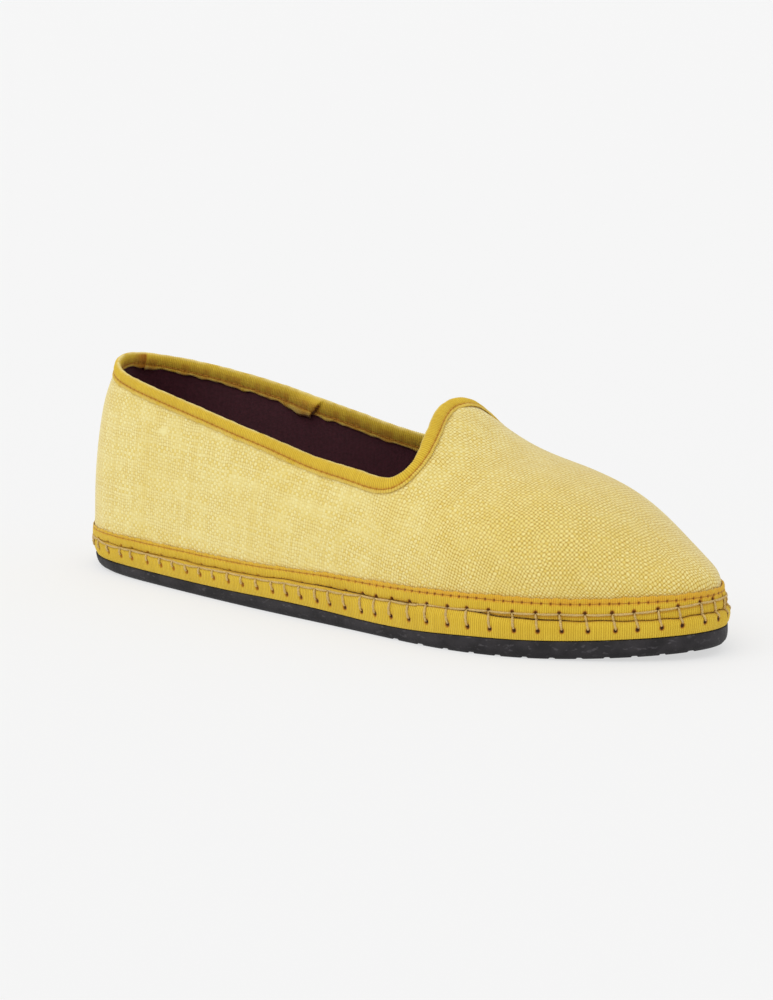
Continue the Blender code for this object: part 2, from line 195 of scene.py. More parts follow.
# Section of the tape round the upper's edge: share of its height, share of its thickness; 1 is ribbed cloth
TapeRow = namedtuple("TapeRow", "up out ribbed")
EDGE_TAPE_SECTION = (
    TapeRow(0.00, 0.30, 0.0),
    TapeRow(0.02, 0.80, 0.6),
    TapeRow(0.07, 1.05, 1.0),
    TapeRow(0.13, 1.12, 1.0),
    TapeRow(0.19, 1.18, 1.0),
    TapeRow(0.25, 1.21, 1.0),
    TapeRow(0.31, 1.22, 1.0),
    TapeRow(0.37, 1.22, 1.0),
    TapeRow(0.43, 1.21, 1.0),
    TapeRow(0.49, 1.18, 1.0),
    TapeRow(0.55, 1.12, 1.0),
    TapeRow(0.61, 1.06, 1.0),
    TapeRow(0.67, 0.97, 1.0),
    TapeRow(0.72, 0.86, 0.9),
    TapeRow(0.76, 0.72, 0.6),
    TapeRow(0.80, 0.80, 0.8),
    TapeRow(0.87, 0.84, 0.9),
    TapeRow(0.94, 0.70, 0.9),
    TapeRow(0.99, 0.48, 0.6),
    TapeRow(1.00, 0.30, 0.2),
    TapeRow(0.97, 0.03, 0.0),
    TapeRow(0.50, 0.02, 0.0),
    TapeRow(0.02, 0.03, 0.0),
)
EDGE_TAPE_FRONT_ROWS = 20

# Section of the folded collar binding: depth below the collar's edge, distance outside the upper's face
BindingRow = namedtuple("BindingRow", "depth out ribbed")
BINDING_SECTION = (
    BindingRow(0.0049, 0.0002, 0.0),
    BindingRow(0.0050, 0.0005, 0.5),
    BindingRow(0.0046, 0.0007, 0.9),
    BindingRow(0.0040, 0.0007, 0.9),
    BindingRow(0.0035, 0.0004, 0.6),
    BindingRow(0.0030, 0.0006, 0.9),
    BindingRow(0.0023, 0.0008, 1.0),
    BindingRow(0.0016, 0.0008, 1.0),
    BindingRow(0.0009, 0.0007, 1.0),
    BindingRow(0.0004, 0.0005, 1.0),
    BindingRow(0.0001, 0.0002, 1.0),
    BindingRow(-0.0001, -0.0003, 1.0),
    BindingRow(0.0001, -0.0008, 1.0),
    BindingRow(0.0005, -0.0012, 1.0),
    BindingRow(0.0010, -0.0015, 1.0),
    BindingRow(0.0016, -0.0017, 1.0),
    BindingRow(0.0022, -0.0018, 1.0),
    BindingRow(0.0028, -0.0018, 0.8),
    BindingRow(0.0033, -0.0016, 0.6),
    BindingRow(0.0038, -0.0019, 0.9),
    BindingRow(0.0043, -0.0019, 0.9),
    BindingRow(0.0047, -0.0017, 0.5),
    BindingRow(0.0046, -0.0014, 0.0),
    BindingRow(0.0022, -0.0013, 0.0),
    BindingRow(0.0010, -0.0007, 0.0),
    BindingRow(0.0022, 0.0001, 0.0),
)
BINDING_FOLD = 11
BINDING_GROOVE_OUTSIDE = 4
BINDING_GROOVE_INSIDE = 18

# How the binding strays from the last: share of the way round from the heel, the outer side first,
# how far its fold reaches over the collar's edge, how far it leans out, and its width
Trim = namedtuple("Trim", "share reach lean width")
COLLAR_TRIM = (
    Trim(0.00, 0.0003, -0.0013, 1.0),
    Trim(0.04, 0.0000, -0.0015, 1.0),
    Trim(0.07, 0.0000, -0.0010, 1.0),
    Trim(0.10, 0.0000, -0.0004, 1.0),
    Trim(0.14, 0.0000, 0.0000, 1.0),
    Trim(0.20, 0.0000, 0.0000, 1.0),
    Trim(0.26, 0.0001, 0.0000, 1.0),
    Trim(0.30, 0.0005, 0.0000, 0.97),
    Trim(0.34, 0.0009, 0.0000, 0.92),
    Trim(0.38, 0.0012, 0.0000, 0.86),
    Trim(0.40, 0.0007, 0.0000, 0.86),
    Trim(0.42, 0.0004, 0.0000, 0.84),
    Trim(0.44, 0.0015, 0.0000, 0.70),
    Trim(0.46, 0.0018, 0.0000, 0.62),
    Trim(0.48, 0.0015, 0.0001, 0.68),
    Trim(0.50, 0.0004, 0.0002, 0.90),
    Trim(0.51, 0.0002, 0.0009, 0.95),
    Trim(0.52, 0.0000, 0.0014, 0.90),
    Trim(0.53, -0.0003, 0.0012, 0.80),
    Trim(0.54, -0.0004, 0.0006, 0.70),
    Trim(0.56, -0.0002, -0.0005, 0.75),
    Trim(0.58, 0.0000, -0.0006, 0.85),
    Trim(0.60, 0.0003, 0.0000, 0.90),
    Trim(0.64, 0.0012, 0.0000, 0.95),
    Trim(0.70, 0.0018, 0.0000, 1.0),
    Trim(0.80, 0.0017, 0.0000, 1.0),
    Trim(0.86, 0.0014, 0.0000, 1.0),
    Trim(0.90, 0.0011, -0.0004, 1.0),
    Trim(0.93, 0.0009, -0.0009, 1.0),
    Trim(0.96, 0.0006, -0.0013, 1.0),
    Trim(1.00, 0.0003, -0.0013, 1.0),
)

# Mesh fineness
CLOTH_FINENESS = 4
PATTERN_ROWS = 10
CLOTH_ROWS = 52
HEM_ROWS = 4
LINING_ROWS = 34
RIB_STEPS = 4
SAMPLES = 1600
HALVINGS = 40
FINE = 1.0e-4
WELD = 1.0e-6

# Columns of the upper on each side: from the heel round the throat to the peak, and on to the toe
Fan = namedtuple("Fan", "columns collar_share foot_along")
SIDE_FAN = Fan(26, 0.72, 0.56)
THROAT_FAN = Fan(15, 1.00, 0.86)
VAMP_COLUMNS = 11
PEAK_SPREAD = 7
PEAK_REACH = 0.25
COLUMN_REACH = 0.011
TOE_CLOSING = 0.03
CLOTH_TOP_DEPTHS = (0.0012, 0.0026)
BINDING_DEPTHS = (0.0006, 0.00125, 0.0019, 0.0026, 0.0033, 0.0040, 0.0047, 0.0054)

# The binding's overlapped joint on the inner side and its tuck at the heel, measured from the heel
JOINT_FROM_HEEL = 0.083
JOINT_LENGTH = 0.013
JOINT_SLANT = 0.9
JOINT_RISE = 0.0014
JOINT_HANG = 0.0011
JOINT_HANG_AT = 0.0113
JOINT_HANG_REACH = 0.0050
TUCK_FROM_HEEL = 0.0078
TUCK_LENGTH = 0.0080
TUCK_RISE = 0.0008
SEED = 7

# Soft creases in the linen: place, then direction in the cloth, half length, half width and height
Crease = namedtuple("Crease", "along inner rise angle half_length half_width height")
CREASES = (
    Crease(0.560, False, 0.22, 78.0, 0.016, 0.0050, -0.00045),
    Crease(0.505, False, 0.20, 84.0, 0.014, 0.0050, 0.00030),
    Crease(0.625, False, 0.42, 40.0, 0.014, 0.0040, -0.00040),
    Crease(0.660, False, 0.36, 28.0, 0.018, 0.0050, 0.00030),
    Crease(0.330, False, 0.20, 90.0, 0.016, 0.0080, -0.00035),
    Crease(0.180, False, 0.24, 80.0, 0.017, 0.0070, 0.00030),
    Crease(0.720, False, 0.60, 8.0, 0.024, 0.0060, -0.00030),
    Crease(0.770, True, 0.52, -14.0, 0.020, 0.0060, -0.00030),
    Crease(0.560, True, 0.22, -78.0, 0.016, 0.0050, -0.00045),
    Crease(0.625, True, 0.42, -40.0, 0.014, 0.0040, -0.00040),
    Crease(0.340, True, 0.20, -88.0, 0.016, 0.0080, -0.00035),
    Crease(0.200, True, 0.26, -80.0, 0.017, 0.0070, 0.00030),
)

# Pale slubs in the linen, told as the creases are; height is how pale they are
SLUBS = (
    Crease(0.188, False, 0.237, 20.0, 0.0022, 0.0009, 1.4),
    Crease(0.197, False, 0.232, 60.0, 0.0018, 0.0008, 1.1),
    Crease(0.430, False, 0.30, 4.0, 0.0026, 0.0008, 0.5),
    Crease(0.640, False, 0.55, 70.0, 0.0024, 0.0008, 0.4),
    Crease(0.300, True, 0.40, 6.0, 0.0024, 0.0008, 0.6),
)


def tone(red, green, blue):
    """A screen colour, 0 to 255, as the linear colour that shaders take."""
    shares = (np.array([red, green, blue]) / 255.0).tolist()
    return tuple(s / 12.92 if s <= 0.04045 else ((s + 0.055) / 1.055) ** 2.4 for s in shares)


class ShoeSizes(bpy.types.PropertyGroup):
    thread_pitch: FloatProperty(
        name="Linen thread pitch", description="Distance between neighbouring threads of the linen",
        default=0.00108, min=0.0004, max=0.004, precision=5, unit="LENGTH",
    )
    rib_pitch: FloatProperty(
        name="Rib pitch", description="Distance between the ribs of the tapes",
        default=0.00072, min=0.0004, max=0.003, precision=5, unit="LENGTH",
    )
    rib_height: FloatProperty(
        name="Rib height", description="Height of the tapes' ribs",
        default=0.00009, min=0.0, max=0.0005, precision=5, unit="LENGTH",
    )
    tape_stitch_pitch: FloatProperty(
        name="Tape stitch pitch", description="Distance between machine stitches along the edge tape",
        default=0.0031, min=0.001, max=0.01, precision=4, unit="LENGTH",
    )
    binding_stitch_pitch: FloatProperty(
        name="Binding stitch pitch", description="Distance between machine stitches along the binding",
        default=0.0024, min=0.001, max=0.01, precision=4, unit="LENGTH",
    )
    hand_stitch_pitch: FloatProperty(
        name="Hand stitch pitch", description="Mean distance between the hand stitches round the sole",
        default=0.0069, min=0.003, max=0.02, precision=4, unit="LENGTH",
    )
    hand_thread: FloatProperty(
        name="Hand thread", description="Thickness of the hand stitches' thread",
        default=0.00078, min=0.0003, max=0.002, precision=4, unit="LENGTH",
    )
    machine_thread: FloatProperty(
        name="Machine thread", description="Thickness of the machine stitches' thread",
        default=0.00045, min=0.0002, max=0.001, precision=5, unit="LENGTH",
    )
    tread_depth: FloatProperty(
        name="Tread depth", description="Depth of the grooves under the outsole",
        default=0.0008, min=0.0, max=0.002, precision=4, unit="LENGTH",
    )
    floor_width: FloatProperty(
        name="Floor width", description="Width of the pale floor",
        default=16.0, min=1.0, max=40.0, unit="LENGTH",
    )
    camera_distance: FloatProperty(
        name="Camera distance", description="Distance from the camera to the shoe",
        default=1.253, min=0.3, max=5.0, unit="LENGTH",
    )
    camera_turn: FloatProperty(
        name="Camera turn", description="Camera's turn from the shoe's outer side towards the toe",
        default=0.634, min=-math.pi, max=math.pi, subtype="ANGLE",
    )
    camera_height: FloatProperty(
        name="Camera height", description="Camera's angle above the floor",
        default=0.200, min=0.0, max=math.pi / 2, subtype="ANGLE",
    )
    camera_roll: FloatProperty(
        name="Camera roll", description="Camera's lean to one side",
        default=0.011, min=-1.0, max=1.0, subtype="ANGLE",
    )
    camera_lens: FloatProperty(
        name="Camera lens", description="Focal length in millimetres",
        default=136.0, min=20.0, max=300.0,
    )


class ShoeColours(bpy.types.PropertyGroup):
    warp: FloatVectorProperty(
        name="Linen warp", description="Pale threads of the linen",
        default=tone(250, 237, 166), size=3, min=0.0, max=1.0, subtype="COLOR",
    )
    weft: FloatVectorProperty(
        name="Linen weft", description="Golden threads of the linen",
        default=tone(234, 208, 108), size=3, min=0.0, max=1.0, subtype="COLOR",
    )
    weave_gap: FloatVectorProperty(
        name="Linen gaps", description="Shade between the linen's threads",
        default=tone(200, 161, 56), size=3, min=0.0, max=1.0, subtype="COLOR",
    )
    tape: FloatVectorProperty(
        name="Tape", description="Ribbed tape",
        default=tone(234, 200, 62), size=3, min=0.0, max=1.0, subtype="COLOR",
    )
    tape_valley: FloatVectorProperty(
        name="Tape valleys", description="Shade between the tape's ribs",
        default=tone(200, 160, 34), size=3, min=0.0, max=1.0, subtype="COLOR",
    )
    # Pale colour of the binding: a painted highlight along its fold, and paler frayed cloth at its lower
    # edges.
    fold: FloatVectorProperty(
        name="Binding fold", description="Rubbed pale edges of the collar binding",
        default=tone(252, 236, 164), size=3, min=0.0, max=1.0, subtype="COLOR",
    )
    tape_edge: FloatVectorProperty(
        name="Tape edge", description="Orange top edge of the tape round the upper",
        default=tone(226, 158, 42), size=3, min=0.0, max=1.0, subtype="COLOR",
    )
    # Painted shade for the tapes: rusty in their seams, stitch grooves and inner folds, near black in needle
    # holes and deep folds.
    rusty_shade: FloatVectorProperty(
        name="Tape folds", description="Rusty shade of the tapes' seams and inner folds",
        default=tone(186, 122, 30), size=3, min=0.0, max=1.0, subtype="COLOR",
    )
    shade: FloatVectorProperty(
        name="Tape shade", description="Needle holes and deep folds of the tapes",
        default=tone(62, 34, 8), size=3, min=0.0, max=1.0, subtype="COLOR",
    )
    seam_thread: FloatVectorProperty(
        name="Machine thread", description="Orange thread of the machine stitches",
        default=tone(206, 142, 36), size=3, min=0.0, max=1.0, subtype="COLOR",
    )
    hand_thread: FloatVectorProperty(
        name="Hand thread", description="Pale tan thread of the hand stitches",
        default=tone(230, 195, 120), size=3, min=0.0, max=1.0, subtype="COLOR",
    )
    lining: FloatVectorProperty(
        name="Lining", description="Plum cloth of the lining and insole",
        default=tone(90, 36, 50), size=3, min=0.0, max=1.0, subtype="COLOR",
    )
    rubber: FloatVectorProperty(
        name="Rubber", description="Charcoal rubber of the outsole",
        default=tone(54, 51, 54), size=3, min=0.0, max=1.0, subtype="COLOR",
    )
    floor: FloatVectorProperty(
        name="Floor", description="Pale floor",
        default=tone(151, 151, 151), size=3, min=0.0, max=1.0, subtype="COLOR",
    )


# ---- The last ----

def x_at(along):
    return (np.asarray(along) - 0.5) * 2.0 * HALF_LENGTH


def spline(knots, values, start_slope=None, end_slope=None):
    """Cubic spline through the knots; an end without a slope is left free of bending."""
    knots = np.asarray(knots, float)
    values = np.asarray(values, float)
    span = np.diff(knots)
    chord = np.diff(values) / span
    count = len(knots)
    matrix = np.zeros((count, count))
    right = np.zeros(count)
    for i in range(1, count - 1):
        matrix[i, i - 1] = span[i]
        matrix[i, i] = 2.0 * (span[i - 1] + span[i])
        matrix[i, i + 1] = span[i - 1]
        right[i] = 3.0 * (span[i] * chord[i - 1] + span[i - 1] * chord[i])
    matrix[0, 0] = 1.0 if start_slope is not None else 2.0
    matrix[0, 1] = 0.0 if start_slope is not None else 1.0
    right[0] = start_slope if start_slope is not None else 3.0 * chord[0]
    matrix[-1, -1] = 1.0 if end_slope is not None else 2.0
    matrix[-1, -2] = 0.0 if end_slope is not None else 1.0
    right[-1] = end_slope if end_slope is not None else 3.0 * chord[-1]
    slope = np.linalg.solve(matrix, right)

    def value(at):
        at = np.asarray(at, float)
        i = np.clip(np.searchsorted(knots, at) - 1, 0, count - 2)
        u = (at - knots[i]) / span[i]
        start = values[i] * (1.0 + 2.0 * u) * (1.0 - u) ** 2 + slope[i] * span[i] * u * (1.0 - u) ** 2
        end = values[i + 1] * u ** 2 * (3.0 - 2.0 * u) - slope[i + 1] * span[i] * u ** 2 * (1.0 - u)
        return start + end

    return value


def turn_at(x):
    """Turn of the outer side's outline point at x."""
    return np.arccos(np.clip(-np.asarray(x) / HALF_LENGTH, -1.0, 1.0))


def along_spline(table, field, scale=1.0):
    """A column of a table as a curve over x."""
    return spline([x_at(row.along) for row in table], [getattr(row, field) * scale for row in table])


half_width_at_turn = spline(
    [turn_at(x_at(row.along)) for row in PLAN], [row.half_width * HALF_WIDTH for row in PLAN]
)
drift_at = along_spline(PLAN, "drift", HALF_WIDTH)
ridge_height_at = along_spline(RIDGE, "height", INSTEP_HEIGHT)
lean_at = along_spline(LEAN, "power")
tape_top_at = along_spline(TAPE_TOP, "height")


def centred_outline(turn, centre):
    """Widest outline of the shoe, drawn about the line y = centre."""
    turn = np.mod(turn, 2.0 * math.pi)
    inner = turn > math.pi
    half_turn = np.where(inner, 2.0 * math.pi - turn, turn)
    x = -HALF_LENGTH * np.cos(half_turn)
    width = half_width_at_turn(half_turn)
    y = drift_at(x) + np.where(inner, width, -width) - centre
    return np.stack([x, y], axis=-1)


whole_outline = centred_outline(np.linspace(0.0, 2.0 * math.pi, SAMPLES), 0.0)
CENTRE = 0.5 * (whole_outline[:, 1].max() + whole_outline[:, 1].min())


def outline_normal(turn):
    """Directions that point inward from the outline."""
    ahead = centred_outline(turn + FINE, CENTRE) - centred_outline(turn - FINE, CENTRE)
    ahead /= np.linalg.norm(ahead, axis=-1, keepdims=True)
    return np.stack([-ahead[..., 1], ahead[..., 0]], axis=-1)


def facing_out(turn):
    """Level directions that point out of the outline."""
    return np.concatenate([-outline_normal(turn), np.zeros((len(turn), 1))], axis=1)


def outline(turn, inset=0.0):
    """Outline points moved in by the inset."""
    return centred_outline(turn, CENTRE) + outline_normal(turn) * np.asarray(inset)[..., None]


def toe_lift(x):
    """Lift of the sole towards the toe tip."""
    start = x_at(TOE_SPRING_START)
    return TOE_SPRING * (np.clip(x - start, 0.0, None) / (HALF_LENGTH - start)) ** 2


def level(turn, inset, height):
    """Points of the outline at one height of the sole stack."""
    flat = outline(turn, inset)
    z = toe_lift(flat[..., 0]) + height
    return np.concatenate([flat, z[..., None]], axis=-1)


def heel_share(turn):
    """1 at the back of the heel, falling to 0 along the sides."""
    return np.clip(np.cos(turn), 0.0, 1.0) ** 4


class EdgeProfile:
    """The edge of a sole layer between its rings: inset at a turn, for a share of the layer's height."""

    def __init__(self, rings):
        shares = [ring.share for ring in rings]
        self.inset_at = spline(shares, [ring.inset for ring in rings])
        self.heel_at = spline(shares, [ring.heel_inset for ring in rings])

    def inset(self, turn, share):
        return self.inset_at(share) + self.heel_at(share) * heel_share(turn)


sole_tape_edge = EdgeProfile(SOLE_TAPE_RINGS)
rubber_edge = EdgeProfile(RUBBER_RINGS)
stack_lines = {
    line: along_spline(STACK, line)
    for line in Stack._fields[1:]
}


def stack_height(line, turn):
    """Height of one line of the stack at a turn; the seam between the tapes waves a little."""
    turn = np.asarray(turn)
    wave = sum(np.sin(count * turn + count) for count in SEAM_WAVES) * SEAM_WAVE * (line == "seam")
    return stack_lines[line](outline(turn)[..., 0]) + wave


SEAM_WAVES = (13, 29, 47)
SEAM_WAVE = 0.00010


def upper_inset(turn):
    """Inset of the upper's foot, less at the heel, where it stands nearly flush with the sole."""
    return UPPER_INSET - HEEL_FLUSH * heel_share(turn)


def ridge_x(turn):
    """Where a column from the outline meets the ridge."""
    x = -HALF_LENGTH * np.cos(turn)
    return x / (1.0 + np.abs(x / RIDGE_REACH) ** RIDGE_POWER) ** (1.0 / RIDGE_POWER)


def last_point(turn, rise):
    """Outer face of the upper."""
    turn, rise = np.broadcast_arrays(np.asarray(turn, float), np.asarray(rise, float))
    foot = outline(turn, upper_inset(turn))
    foot_z = toe_lift(foot[..., 0]) + tape_top_at(foot[..., 0])
    top_x = ridge_x(turn)
    angle = 0.5 * math.pi * rise
    across = np.clip(np.cos(angle), 0.0, 1.0) ** FULLNESS
    upward = np.clip(np.sin(angle), 0.0, 1.0) ** FULLNESS
    share = across / (across + upward)
    out = share ** (1.0 / lean_at(foot[..., 0]))
    x = top_x + (foot[..., 0] - top_x) * out
    ridge_y = drift_at(top_x) - CENTRE
    y = ridge_y + (foot[..., 1] - ridge_y) * out
    z = foot_z + (ridge_height_at(x) - foot_z) * (1.0 - share) ** (1.0 / FULLNESS)
    return np.stack([x, y, z], axis=-1)


def slopes(turn, rise):
    """Directions of growing turn and of growing rise on the outer face."""
    rise = np.minimum(rise, 1.0 - 2.0 * FINE)
    low = np.clip(rise - FINE, 0.0, 1.0)
    high = np.clip(rise + FINE, 0.0, 1.0)
    round_way = last_point(turn + FINE, rise) - last_point(turn - FINE, rise)
    up_way = last_point(turn, high) - last_point(turn, low)
    return round_way / (2.0 * FINE), up_way / (high - low)[..., None]


def outward(turn, rise):
    round_way, up_way = slopes(turn, rise)
    normal = np.cross(round_way, up_way)
    return normal / np.linalg.norm(normal, axis=-1, keepdims=True)


def distance_along(points):
    """Distance travelled from the first point to each point of a path."""
    steps = np.linalg.norm(np.diff(points, axis=0), axis=1)
    return np.concatenate([[0.0], np.cumsum(steps)])


def rise_for_height(turn, height):
    """Rise at which a column reaches a height."""
    low, high = 0.0, 1.0
    for _ in range(HALVINGS):
        middle = 0.5 * (low + high)
        if last_point(turn, middle)[2] < height:
            low = middle
        else:
            high = middle
    return low


# ---- The collar ----

def collar_side(setback, fineness):
    """Turn and rise of each column along one side of the collar, from the heel to the peak."""
    front = len(COLLAR) - 2
    along_x = [x_at(row.along) - (setback if i >= front else 0.0) for i, row in enumerate(COLLAR)]
    turns = [float(turn_at(x)) for x in along_x]
    rises = [rise_for_height(turn, row.height) for turn, row in zip(turns, COLLAR)]
    turns.append(float(turn_at(x_at(PEAK_ALONG))))
    rises.append(1.0)
    travel = distance_along(last_point(turns, rises))
    turn_of = spline(travel, turns, end_slope=0.0)
    rise_of = spline(travel, rises, start_slope=0.0)
    fine = np.linspace(0.0, travel[-1], SAMPLES)
    length = distance_along(last_point(turn_of(fine), np.clip(rise_of(fine), 0.0, 1.0)))
    side = np.linspace(0.0, SIDE_FAN.collar_share, SIDE_FAN.columns * fineness + 1)
    throat = np.linspace(SIDE_FAN.collar_share, 1.0, THROAT_FAN.columns * fineness + 1)
    even = np.interp(np.concatenate([side, throat[1:]]) * length[-1], length, fine)
    turn = turn_of(even)
    rise = np.clip(rise_of(even), 0.0, 1.0)
    turn[0] = 0.0
    turn[-1] = turn_at(x_at(PEAK_ALONG))
    rise[-1] = 1.0
    return turn, rise


def collar_rows(depths, fineness):
    """The collar, outer side first, and the lines below it at the given depths over the outer face."""
    outer_turn, outer_rise = collar_side(0.0, fineness)
    inner_turn, inner_rise = collar_side(INNER_THROAT_SETBACK, fineness)
    peak = len(outer_turn) - 1
    turn = np.concatenate([outer_turn, (2.0 * math.pi - inner_turn[::-1])[1:-1]])
    rise = np.concatenate([outer_rise, inner_rise[::-1][1:-1]])
    edge = last_point(turn, rise)
    tangent = np.roll(edge, -1, axis=0) - np.roll(edge, 1, axis=0)
    down = np.cross(tangent, outward(turn, rise))
    down /= np.linalg.norm(down, axis=1, keepdims=True)
    rows = [(turn, rise)]
    reached = 0.0
    for depth in depths:
        round_way, up_way = slopes(turn, rise)
        step = down * (depth - reached)
        aa = (round_way * round_way).sum(axis=1)
        ab = (round_way * up_way).sum(axis=1)
        bb = (up_way * up_way).sum(axis=1)
        ra = (round_way * step).sum(axis=1)
        rb = (up_way * step).sum(axis=1)
        room = aa * bb - ab * ab
        turn = turn + (ra * bb - rb * ab) / room
        rise = np.clip(rise + (rb * aa - ra * ab) / room, 0.0, 1.0)
        turn[0] = 0.0
        rise[peak] = 1.0
        rows.append((turn, rise))
        reached = depth
    return rows, down


def round_the_collar(values, knots, at):
    """Smooth values between the collar's columns, at lengths from the heel."""
    lap = knots[-1]
    pad = 4
    wide = np.concatenate([knots[-pad - 1:-1] - lap, knots, knots[1:pad + 1] + lap])
    shape = values.reshape(len(values), -1)
    ring = np.concatenate([shape, shape[:1]])
    ring = np.concatenate([ring[-pad - 1:-1], ring, ring[1:pad + 1]])
    smooth = [spline(wide, column)(at) for column in ring.T]
    return np.stack(smooth, axis=-1).reshape(len(at), *values.shape[1:])


class CollarEdge:
    """The collar's edge, measured in length from the heel along the outer side."""

    def __init__(self):
        rows, self.down_column = collar_rows(BINDING_DEPTHS, 1)
        self.depths = np.array((0.0,) + BINDING_DEPTHS)
        self.face_column = np.stack([last_point(*row) for row in rows], axis=1)
        self.normal_column = np.stack([outward(*row) for row in rows], axis=1)
        edge = self.face_column[:, 0]
        self.knots = distance_along(np.concatenate([edge, edge[:1]]))
        self.length = self.knots[-1]

    def places(self, at, depth, out):
        """Points at lengths along the edge: depth below it over the outer face, out from that face."""
        at, depth, out = np.broadcast_arrays(at, depth, out)
        face = round_the_collar(self.face_column, self.knots, at)
        normal = round_the_collar(self.normal_column, self.knots, at)
        down = round_the_collar(self.down_column, self.knots, at)
        low = np.clip(np.searchsorted(self.depths, depth) - 1, 0, len(self.depths) - 2)
        share = (np.clip(depth, 0.0, None) - self.depths[low]) / (self.depths[low + 1] - self.depths[low])
        share = share[:, None]
        pick = np.arange(len(at))
        point = face[pick, low] * (1.0 - share) + face[pick, low + 1] * share
        facing = normal[pick, low] * (1.0 - share) + normal[pick, low + 1] * share
        facing /= np.linalg.norm(facing, axis=1, keepdims=True)
        return point + down * np.minimum(depth, 0.0)[:, None] + facing * out[:, None], facing


collar_edge = CollarEdge()
collar_trim = {
    way: spline([row.share for row in COLLAR_TRIM], [getattr(row, way) for row in COLLAR_TRIM], 0.0, 0.0)
    for way in ("reach", "lean", "width")
}


# ---- The upper's columns, and its cloth laid flat ----

def outline_lengths():
    """Turns round the outline and the distance travelled to each."""
    turn = np.linspace(0.0, 2.0 * math.pi, SAMPLES)
    return turn, distance_along(outline(turn))


OUTLINE_TURNS, OUTLINE_TRAVEL = outline_lengths()
OUTLINE_LENGTH = OUTLINE_TRAVEL[-1]


def turn_after(length):
    """Turn at a distance round the outline from the heel."""
    laps = np.floor(np.asarray(length) / OUTLINE_LENGTH)
    return np.interp(length - laps * OUTLINE_LENGTH, OUTLINE_TRAVEL, OUTLINE_TURNS) + laps * 2.0 * math.pi


def foot_turns(fineness):
    """Turn of each column at the sole edge, on the outer side from heel to toe."""
    waist, ball, toe = (
        np.interp(turn, OUTLINE_TURNS, OUTLINE_TRAVEL)
        for turn in (turn_at(x_at(SIDE_FAN.foot_along)), turn_at(x_at(THROAT_FAN.foot_along)), math.pi)
    )
    side = np.linspace(0.0, waist, SIDE_FAN.columns * fineness + 1)
    throat = np.linspace(waist, ball, THROAT_FAN.columns * fineness + 1)
    vamp = np.linspace(ball, toe, VAMP_COLUMNS * fineness + 1)
    turns = turn_after(np.concatenate([side, throat[1:], vamp[1:]]))
    turns[-1] = math.pi
    return turns


def column_side(upper_row, lower_row, depth_step, foot, fineness):
    """Control places of one side's columns: at the sole edge, on the way, and at the top.

    Columns leave the collar square to it, turn with it at the peak and drop straight from the ridge.
    """
    collar_columns = len(lower_row[0]) - 1
    count = len(foot)
    fine = np.linspace(lower_row[0][-1], math.pi, SAMPLES)
    measure = ridge_x(fine) + TOE_CLOSING * fine
    marks = np.linspace(measure[0], measure[-1], VAMP_COLUMNS * fineness + 1)
    top = np.ones((count, 2))
    top[:, 0] = np.concatenate([lower_row[0], np.interp(marks, measure, fine)[1:]])
    top[:collar_columns + 1, 1] = lower_row[1]
    round_way, up_way = slopes(top[:, 0], top[:, 1])
    away = np.zeros((count, 2))
    away[:, 0] = 1.0 / np.linalg.norm(round_way, axis=1)
    drop = (np.array(lower_row) - np.array(upper_row)).T[:collar_columns]
    away[:collar_columns] = drop / depth_step
    down = np.zeros((count, 2))
    down[:, 1] = -1.0 / np.linalg.norm(up_way, axis=1)
    past_peak = (np.arange(count) - collar_columns)[:, None] / (PEAK_SPREAD * fineness)
    turning = np.clip(0.5 - 0.5 * past_peak, 0.0, 1.0)
    reach = COLUMN_REACH * np.clip(np.abs(past_peak), PEAK_REACH, 1.0)
    way = top + reach * (turning * away + (1.0 - turning) * down)
    base = np.stack([foot, np.zeros(count)], axis=-1)
    return base, way, top


def upper_places(fineness, rows):
    """Turn and rise of the upper's cloth on a grid: columns round the shoe, rows from the foot to the top."""
    lines, _ = collar_rows(CLOTH_TOP_DEPTHS, fineness)
    peak = (SIDE_FAN.columns + THROAT_FAN.columns) * fineness
    foot = foot_turns(fineness)
    depth_step = CLOTH_TOP_DEPTHS[1] - CLOTH_TOP_DEPTHS[0]
    outer = [[values[:peak + 1] for values in line] for line in lines]
    inner = []
    for turn, rise in lines:
        back = np.concatenate([turn[:1], 2.0 * math.pi - turn[:peak:-1], turn[[peak]]])
        inner.append([back, np.concatenate([rise[:1], rise[:peak:-1], rise[[peak]]])])
    sides = []
    for side in (outer, inner):
        base, way, top = column_side(side[1], side[2], depth_step, foot, fineness)
        u = np.linspace(0.0, 1.0, rows + 1)[None, :, None]
        curve = (1.0 - u) ** 2 * base[:, None] + 2.0 * u * (1.0 - u) * way[:, None] + u ** 2 * top[:, None]
        sides.append(curve)
    mirrored = sides[1][::-1].copy()
    mirrored[..., 0] = 2.0 * math.pi - mirrored[..., 0]
    return np.concatenate([sides[0], mirrored[1:]])


def travel_round(turn):
    """Distance round the outline to a turn."""
    return np.interp(np.mod(turn, 2.0 * math.pi), OUTLINE_TURNS, OUTLINE_TRAVEL)


